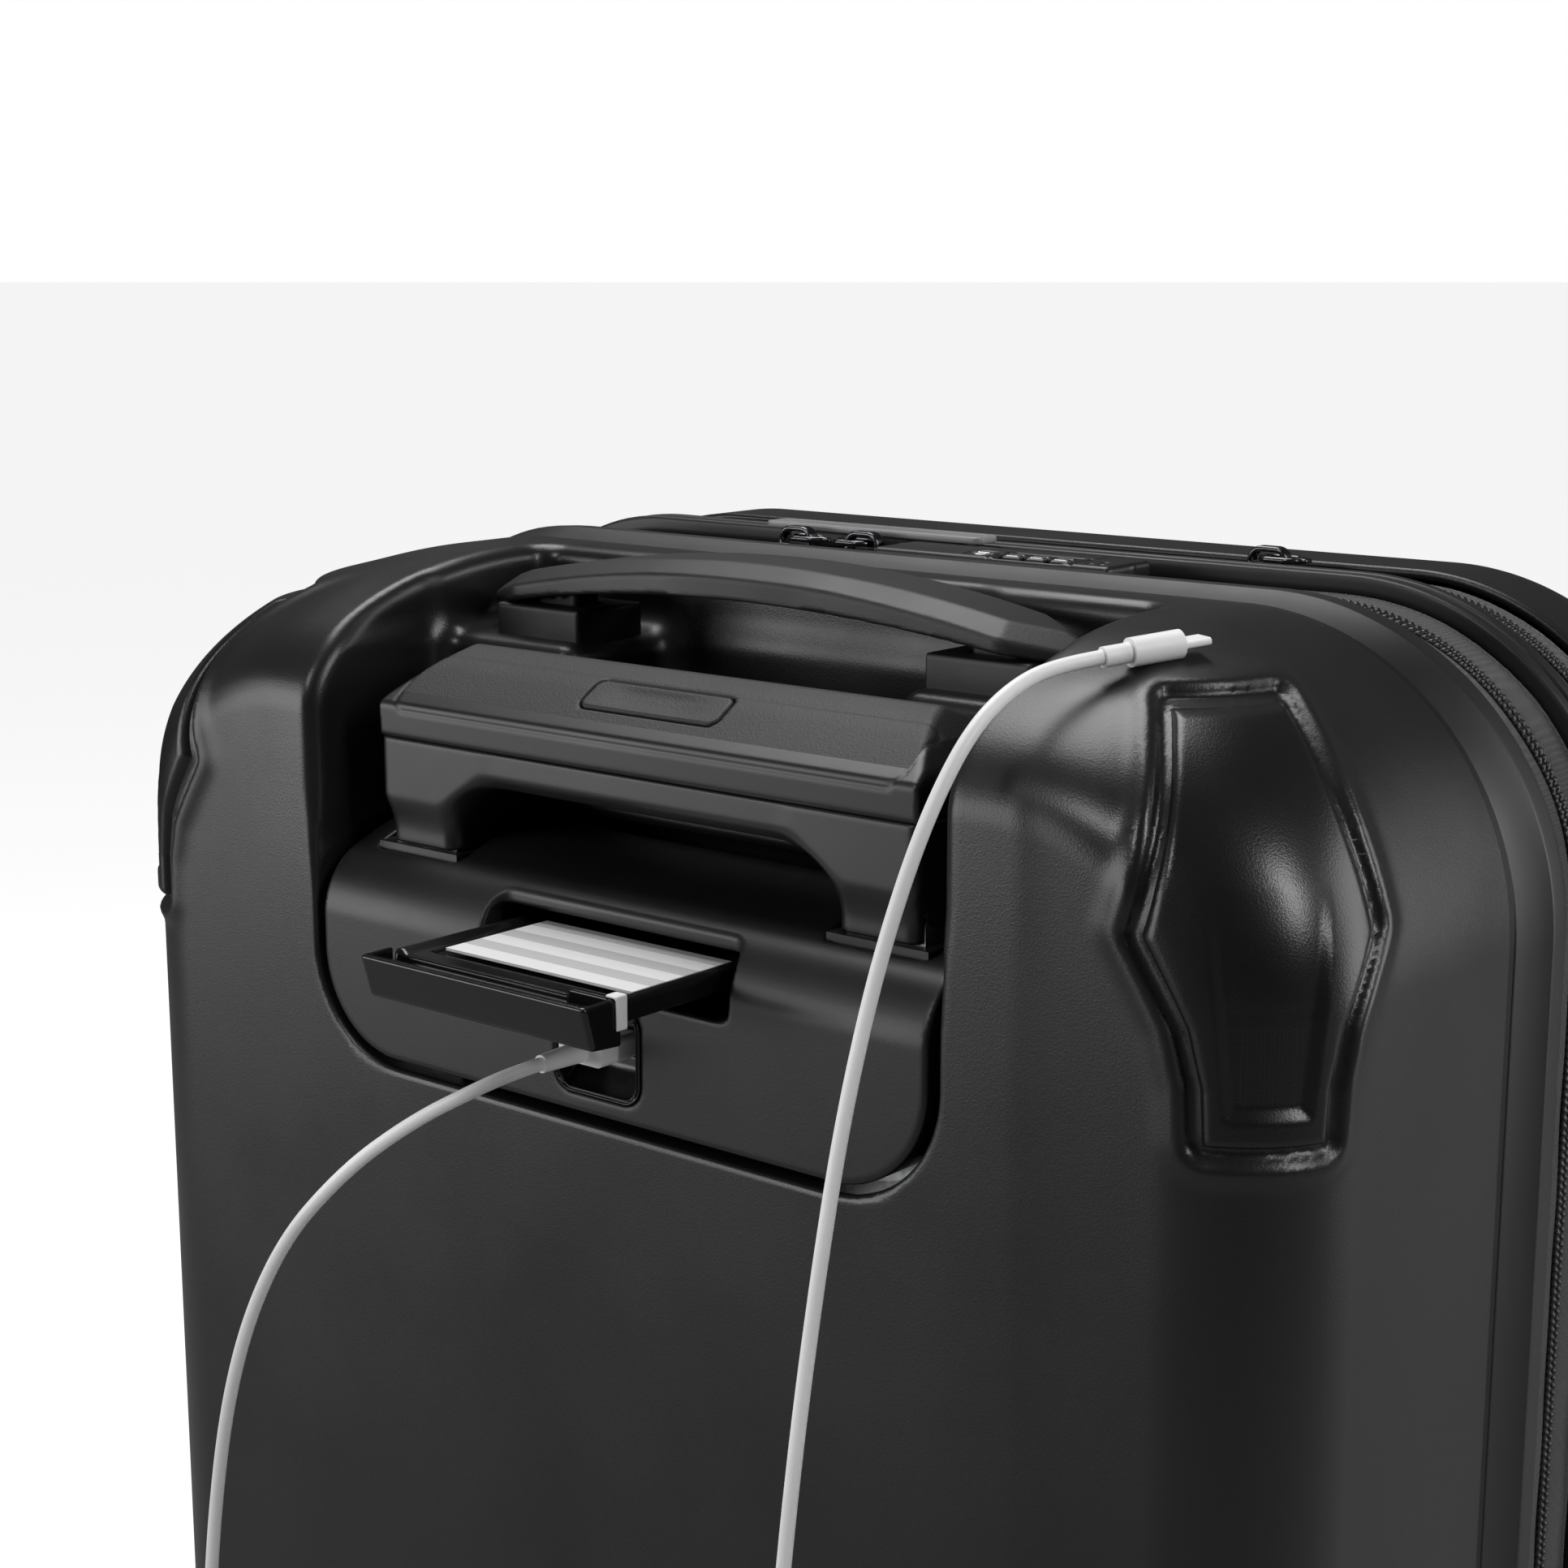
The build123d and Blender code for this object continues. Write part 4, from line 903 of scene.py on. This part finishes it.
def slider_field(x0, y0):
    """A slider: a waisted body that rides on the coil, and an arched bridge over it."""
    def field(p):
        x, y, z = p[0] - x0, p[1] - y0, p[2] - SLIDER_LOW
        waist = 3.7 + 1.3 * unit(np.abs(x) / 6) ** 2
        body = smooth_max(np.abs(y) - waist, np.abs(x) - 6.0, 2.0)
        body = smooth_max(body, np.abs(z - 0.9) - 0.9, 0.7)
        arch = plate(x, z, 6.3, -6.0, 6.8, 4.0, 1.0)[0]
        tunnel = plate(x, z, 4.7, -6.0, 5.2, 2.6, 1.0)[0]
        bridge = smooth_max(smooth_max(arch, -tunnel, 0.5), np.abs(y) - 2.0, 0.8)
        bridge = np.maximum(bridge, 0.4 - z)
        return smooth_min(body, bridge, 0.6)
    return field


def pull_field(x0, y0, way):
    """A flat oval ring threaded through the bridge, with a small tab."""
    def field(p):
        x, y, z = (p[0] - x0) * way - 4.0, p[1] - y0, p[2] - SLIDER_LOW - RING_UP
        qx = np.maximum(np.abs(x) - 2.35, 0)
        oval = np.hypot(qx, y) - 3.7
        ring = np.hypot(oval, z * 1.1) - 1.0
        tab = block((x, y, z), (5.2, -2.0, -0.7), (8.4, 2.0, 0.7), 0.7)
        return smooth_min(ring, tab, 0.8)
    return field


def zips():
    for name, x, y, way in ZIPS:
        solid("slider_" + name + "_cast", slider_field(x, y), (x - 7, y - 5.5, 542.4),
              (x + 7, y + 5.5, 550), 0.3, "slider_" + name, "gunmetal", look_gunmetal, "zip_slider_" + name)
        low, high = sorted((x - way * 4.5, x + way * 12.9))
        solid("pull_" + name + "_ring", pull_field(x, y, way), (low, y - 5.2, 544),
              (high, y + 5.2, 548.4), 0.3, "pull_" + name, "gunmetal", look_gunmetal, "zip_pull_" + name)


# ---------- lock
LOCK_LOW_MM, LOCK_TOP_MM = (-13.0, 29.3, 526.0), 547.5
KEY_X_MM, KEY_R_MM, KEY_LOW_MM = 21.0, 3.4, 536.0
DIALS_MM, DIAL_R_MM = (32.0, 40.0, 48.0), 5.6


def lock_field(p):
    x, y, z = p
    body = block(p, LOCK_LOW_MM, (67.0, 43.2, LOCK_TOP_MM), 1.6)
    flange = block(p, (-13.0, 40.0, LOCK_TOP_MM - 4.2), (67.0, 51.0, LOCK_TOP_MM), 1.4)
    body = smooth_min(body, flange, 0.6)
    window = block((x - DIALS_MM[1], y - LOCK_MID_MM, z), (-11.8, -6.0, KEY_LOW_MM), (11.8, 6.0, 560), 1.2)
    body = carve(body, window, 0.5)
    rim = plate(x - DIALS_MM[1], y - LOCK_MID_MM, 13.6, -7.2, 7.2, 2.0, 2.0)[0]
    body = carve(body, np.maximum(np.abs(rim) - 0.25, LOCK_TOP_MM - 0.4 - z), 0.1)
    bore = np.hypot(x - KEY_X_MM, y - LOCK_MID_MM)
    body = carve(body, np.maximum(bore - KEY_R_MM - 0.15, 535 - z), 0.1)
    body = carve(body, np.maximum(np.abs(bore - 4.9) - 0.25, LOCK_TOP_MM - 0.35 - z), 0.1)
    for hole_x, hole_y in ((58.5, 33.2), (62.0, 33.2), (60.3, 38.0)):
        pit = np.maximum(np.hypot(x - hole_x, y - hole_y) - 1.0, LOCK_TOP_MM - 1.6 - z)
        body = carve(body, pit, 0.3)
    step = np.maximum(54.0 - x, LOCK_TOP_MM - 0.5 - z)
    return carve(body, np.maximum(step, x - 54.5), 0.15)


def dial_field(number_x):
    def field(p):
        x, y, z = p
        angle = np.arctan2(z - DIAL_Z_MM, y - LOCK_MID_MM)
        reach = np.hypot(y - LOCK_MID_MM, z - DIAL_Z_MM)
        notch = 0.42 * unit(-np.cos(10 * angle) - 0.45) / 0.55
        wheel = smooth_max(reach - DIAL_R_MM + notch, np.abs(x - number_x) - 3.0, 0.5)
        return carve(wheel, reach - 1.6, 0.1)
    return field


def key_field(p):
    x, y, z = p
    reach = np.hypot(x - KEY_X_MM, y - LOCK_MID_MM)
    body = smooth_max(reach - KEY_R_MM, np.abs(z - 541.85) - 5.8, 0.35)
    keyway = block((x - KEY_X_MM, y - LOCK_MID_MM, z), (-2.1, -0.45, 544.8), (2.1, 0.45, 560), 0.2)
    return carve(body, keyway, 0.2)


def lever_field(p):
    x, y, z = p
    flat = plate(x + 30, y, 40.0, 49.4, 60.0, 2.6, 2.6)[0]
    body = smooth_max(flat, np.abs(z - 548.8) - 1.0, 0.45)
    line = plate(x + 28, y, 35.0, 51.2, 58.2, 1.4, 1.4)[0]
    return carve(body, np.maximum(np.abs(line) - 0.22, 549.55 - z), 0.1)


def lock():
    solid("lock_housing", lock_field, LOCK_LOW_MM, (67.0, 51.0, LOCK_TOP_MM), 0.55, "case", "panel",
          look_panel, "lock_body")
    for number, x in enumerate(DIALS_MM, 1):
        solid("number_wheel_" + str(number), dial_field(x),
              (x - 3, LOCK_MID_MM - DIAL_R_MM, DIAL_Z_MM - DIAL_R_MM),
              (x + 3, LOCK_MID_MM + DIAL_R_MM, DIAL_Z_MM + DIAL_R_MM), 0.25,
              "dial_" + str(number), "gloss_black", look_dial, "lock_dial_" + str(number))
    solid("key_barrel", key_field, (KEY_X_MM - KEY_R_MM, LOCK_MID_MM - KEY_R_MM, KEY_LOW_MM),
          (KEY_X_MM + KEY_R_MM, LOCK_MID_MM + KEY_R_MM, 547.7), 0.3, "key", "plated", look_plated,
          "key_cylinder")
    solid("release_plate", lever_field, (-70, 49.4, 547.8), (10, 60.0, 549.8), 0.4,
          "lever", "lever_grey", look_lever, "lock_lever")
    foot_low, foot_high = (-12, 50.6, 542.4), (3, 58.4, 547.9)
    solid("release_foot", lambda p: block(p, foot_low, foot_high, 0.8), foot_low, foot_high, 0.5,
          "lever", "panel", look_panel)


# ---------- casters
CASTER_X_MM, TRAIL_MM, WHEEL_R_MM = 150.0, 12.0, 25.0
CASTER_Y_MM = {"back": -63.0, "front": 119.5}
TRAIL_Y = -TRAIL_MM


def wheel_field(p):
    """One wheel about the X axis at the origin: a crowned tyre, a dished hub and six spokes."""
    x, y, z = p
    reach, angle = np.hypot(y, z), np.arctan2(z, y)
    crown = WHEEL_R_MM - 0.035 * (x - 9.5) ** 2
    tyre = smooth_max(reach - crown, np.abs(x - 9.5) - 5.0, 2.4)
    for side in (4.5, 14.5):
        depth = 2.2 - np.abs(x - side)
        dish = np.maximum(np.abs(reach - 12.5) - 5.6, -depth)
        tyre = carve(tyre, dish, 0.8)
        groove = np.maximum(np.abs(reach - 19.6) - 0.35, -(0.5 - np.abs(x - side)))
        tyre = carve(tyre, groove, 0.2)
    gap = np.maximum(np.abs(reach - 12.5) - 3.6, 0.42 - np.abs(np.sin(3 * angle)))
    tyre = carve(tyre, gap, 0.6)
    return carve(tyre, reach - 3.05, 0.2)


def fork_field(p):
    """The turntable, its pin and the hooded fork, about the swivel axis."""
    x, y, z = p
    disc = smooth_max(np.hypot(x, y) - 21.0, np.abs(z - 53.85) - 2.35, 1.2)
    groove = np.maximum(np.abs(np.hypot(x, y) - 18.8) - 0.4, 52.0 - z)
    pin = np.maximum(np.hypot(x, y) - 5.0, np.abs(z - 68) - 16.0)
    arm = convex(y, z, [
        (TRAIL_Y - 10, 24), (TRAIL_Y, 15.5), (TRAIL_Y + 10, 22), (10, 53), (-18.5, 53)], 4)
    arm = smooth_max(arm, np.abs(x) - 3.9, 0.8)
    axle = np.maximum(np.hypot(y - TRAIL_Y, z - WHEEL_R_MM) - 3.0, np.abs(x) - 12.4)
    hood = np.hypot(y - TRAIL_Y, z - WHEEL_R_MM)
    hood = smooth_max(np.abs(hood - 27.6) - 1.1, np.abs(x) - 14.2, 0.8)
    hood = smooth_max(hood, 32 - z - 0.15 * (y - TRAIL_Y), 1.0)
    hood = np.maximum(hood, z - 53.0)
    hood = np.maximum(hood, np.hypot(x, y * 0.86) - 21.5)
    body = smooth_min(smooth_min(carve(disc, groove, 0.2), arm, 1.5), smooth_min(axle, hood, 1.0), 1.0)
    return smooth_min(body, pin, 0.5)


def casters():
    half = WHEEL_R_MM + 1
    rows = [np.arange(a, b, c, dtype=np.float32) for a, b, c in (
        (3.7, 15.6, 0.6), (-half, half, 0.9), (-half, half, 0.9))]
    points, faces = skin(wheel_field, *rows)
    other = points * (-1, 1, 1)
    pair = np.concatenate([points, other])
    pair_faces = np.concatenate([faces, faces[:, ::-1] + len(points)])
    fork_points, fork_faces = skin(fork_field, *[np.arange(a, b, 0.8, dtype=np.float32) for a, b in (
        (-23, 23.5), (-34, 23.5), (13, 86))])
    for end, y in CASTER_Y_MM.items():
        for side, sign in (("left", -1), ("right", 1)):
            corner = end + "_" + side
            hub = (sign * CASTER_X_MM, y - TRAIL_MM, WHEEL_R_MM)
            wheels = mesh_piece("wheels_" + corner + "_moulding", pair + hub, pair_faces)
            dress(wheels, "wheels_" + corner, "wheel_rubber", look_wheel, "twin_wheel_" + corner)
            pin = (sign * CASTER_X_MM, y, 0)
            fork = mesh_piece("fork_" + corner + "_moulding", fork_points + pin, fork_faces)
            dress(fork, "swivel_" + corner, "panel", look_hub, "fork_" + corner)


# ---------- what joins the halves
def expander():
    tapes = (("expander_rear_tape", 71.0, 84.8, "lid", "expander_zip_rear"),
             ("expander_front_tape", 85.2, 95.0, "front", "expander_zip_front"))
    for name, start, end, body, node in tapes:
        tape(name, start, end, body, node)
    coil("expander_coil_rear", 84.85, -1, "lid")
    coil("expander_coil_front", 85.15, 1, "front")


def join(cloth, replaced):
    """Lining cloth with its material, in place of its CAD node, its place baked into its mesh."""
    cloth.data.materials.append(look_lining)
    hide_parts(replaced)
    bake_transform(cloth)


def gusset():
    """Pleated cloth behind the second zip, as a fixed band; on the case it opens out as the front moves
    forward.
    """
    inner = (193.4, 62.1, 538.9, 71.4, 46.4)
    profile = [(-1.0, 71.6), (0.0, 71.6), (-0.4, 77.0), (0.5, 83.0), (-0.4, 89.0), (0.4, 95.0),
               (0.0, 100.0), (-1.0, 100.0)]
    cloth = band("gusset_cloth", inner, profile, 4.0)
    join(cloth, "expander_gusset")


def hinge():
    """The inner strap of cloth along the left side that the lid folds on."""
    across = np.linspace(31, 58, 28)
    up = np.linspace(151, 459, 78)
    y, z = np.meshgrid(across, up, indexing="ij")
    x = -193.4 + 0.25 * np.sin(z / 6.0) * np.cos(y / 5.0)
    points = np.stack([x, y, z], -1).reshape(-1, 3)
    rows, columns = y.shape
    i, j = np.meshgrid(np.arange(rows - 1), np.arange(columns - 1), indexing="ij")
    first = (i * columns + j).ravel()
    faces = np.stack([first, first + 1, first + columns + 1, first + columns], -1)
    strap = mesh_piece("hinge_strap", points, faces)
    thicken(strap, 0.7 * MM)
    join(strap, "hinge_tape")


# ---------- everything else
def handles():
    solid("carry_handle_moulding", handle_field, (-104, BACK_MM + 53, 514), (104, BACK_MM + 86, 550), 0.9,
          "handle", "handle_soft", look_handle, "carry_handle")
    pad = solid("anchor_right_pad", anchor_field, (59, BACK_MM + 56, 521.5), (93, BACK_MM + 84, 532.5),
                0.6, "case", "panel", look_anchor, "handle_anchors")
    mirrored(pad, "anchor_left_pad", "case", "panel", look_anchor)
    solid("grip_lower_moulding", grip_base_field, (-92.5, BACK_MM + 12, 470.3),
          (92.5, BACK_MM + 50, 500.1), 0.9, "stage_two", "grip_smooth", look_grip, "grip_base")
    solid("grip_upper_moulding", grip_top_field, (-92.5, BACK_MM + 11.4, 500),
          (92.5, BACK_MM + 50, 524), 0.75, "stage_two", "grip_soft", look_grip, "grip_top")
    solid("release_button_cap", button_field, (-23.5, BACK_MM + 17, 508), (23.5, BACK_MM + 30, 522), 0.45,
          "button", "grip_soft", look_grip, "release_button")


def housing():
    tip = BACK_MM + TRAY_TIP_MM
    solid("housing_moulding", housing_field, (-104.3, BACK_MM, 413), (104.3, BACK_MM + 48, 475), 0.95,
          "case", "panel", look_panel, "trolley_housing")
    solid("port_frame", bezel_field, (-15, BACK_MM - 0.3, 418), (15, BACK_MM + 10, 444), 0.4,
          "case", "gloss_black", look_gloss, "port_bezel")
    solid("tray_moulding", tray_field, (-38.4, tip, 446.6), (39.4, BACK_MM + 12, 459), 0.55,
          "tray", "gloss_black", look_gloss, "tag_tray")
    solid("card_strap", card_tab_field, (35, tip + 10, 450), (40, tip + 15, 460), 0.3,
          "tray", "card", look_card)


def carried_over():
    """The CAD's own parts that stay, each with its material."""
    corners = [end + "_" + side for end in CASTER_Y_MM for side in ("left", "right")]
    looks = {
        look_hub: ["wheel_mount_" + corner for corner in corners],
        look_plated: ["mount_screws_back", "mount_screws_front", "dial_spindle"],
        look_lining: ["tube_lining"],
        look_aluminium: ["outer_tubes", "middle_tubes", "inner_tubes", "release_rods"],
        look_collar: ["tube_collars"],
        look_panel: ["tube_bridge"],
        look_cable: ["port_socket", "bank_lead"],
        look_lead: ["lead_usb_plug", "lead_phone_plug", "charging_lead"],
        look_card: ["tag_card"]}
    for look, names in looks.items():
        for name in names:
            paint(nodes[name], look)


camera()
studio()
shells()
trims()
tape("case_zip_tape", 29.0, 43.5, "case", "back_zip_tape")
tape("lid_side_zip_tape", 44.0, 60.0, "lid", "lid_zip_tape")
coil("case_coil", 43.55, -1, "case")
coil("lid_coil", 43.95, 1, "lid")
expander()
gusset()
hinge()
housing()
handles()
zips()
lock()
casters()
carried_over()

charging.data.materials.append(look_lead)
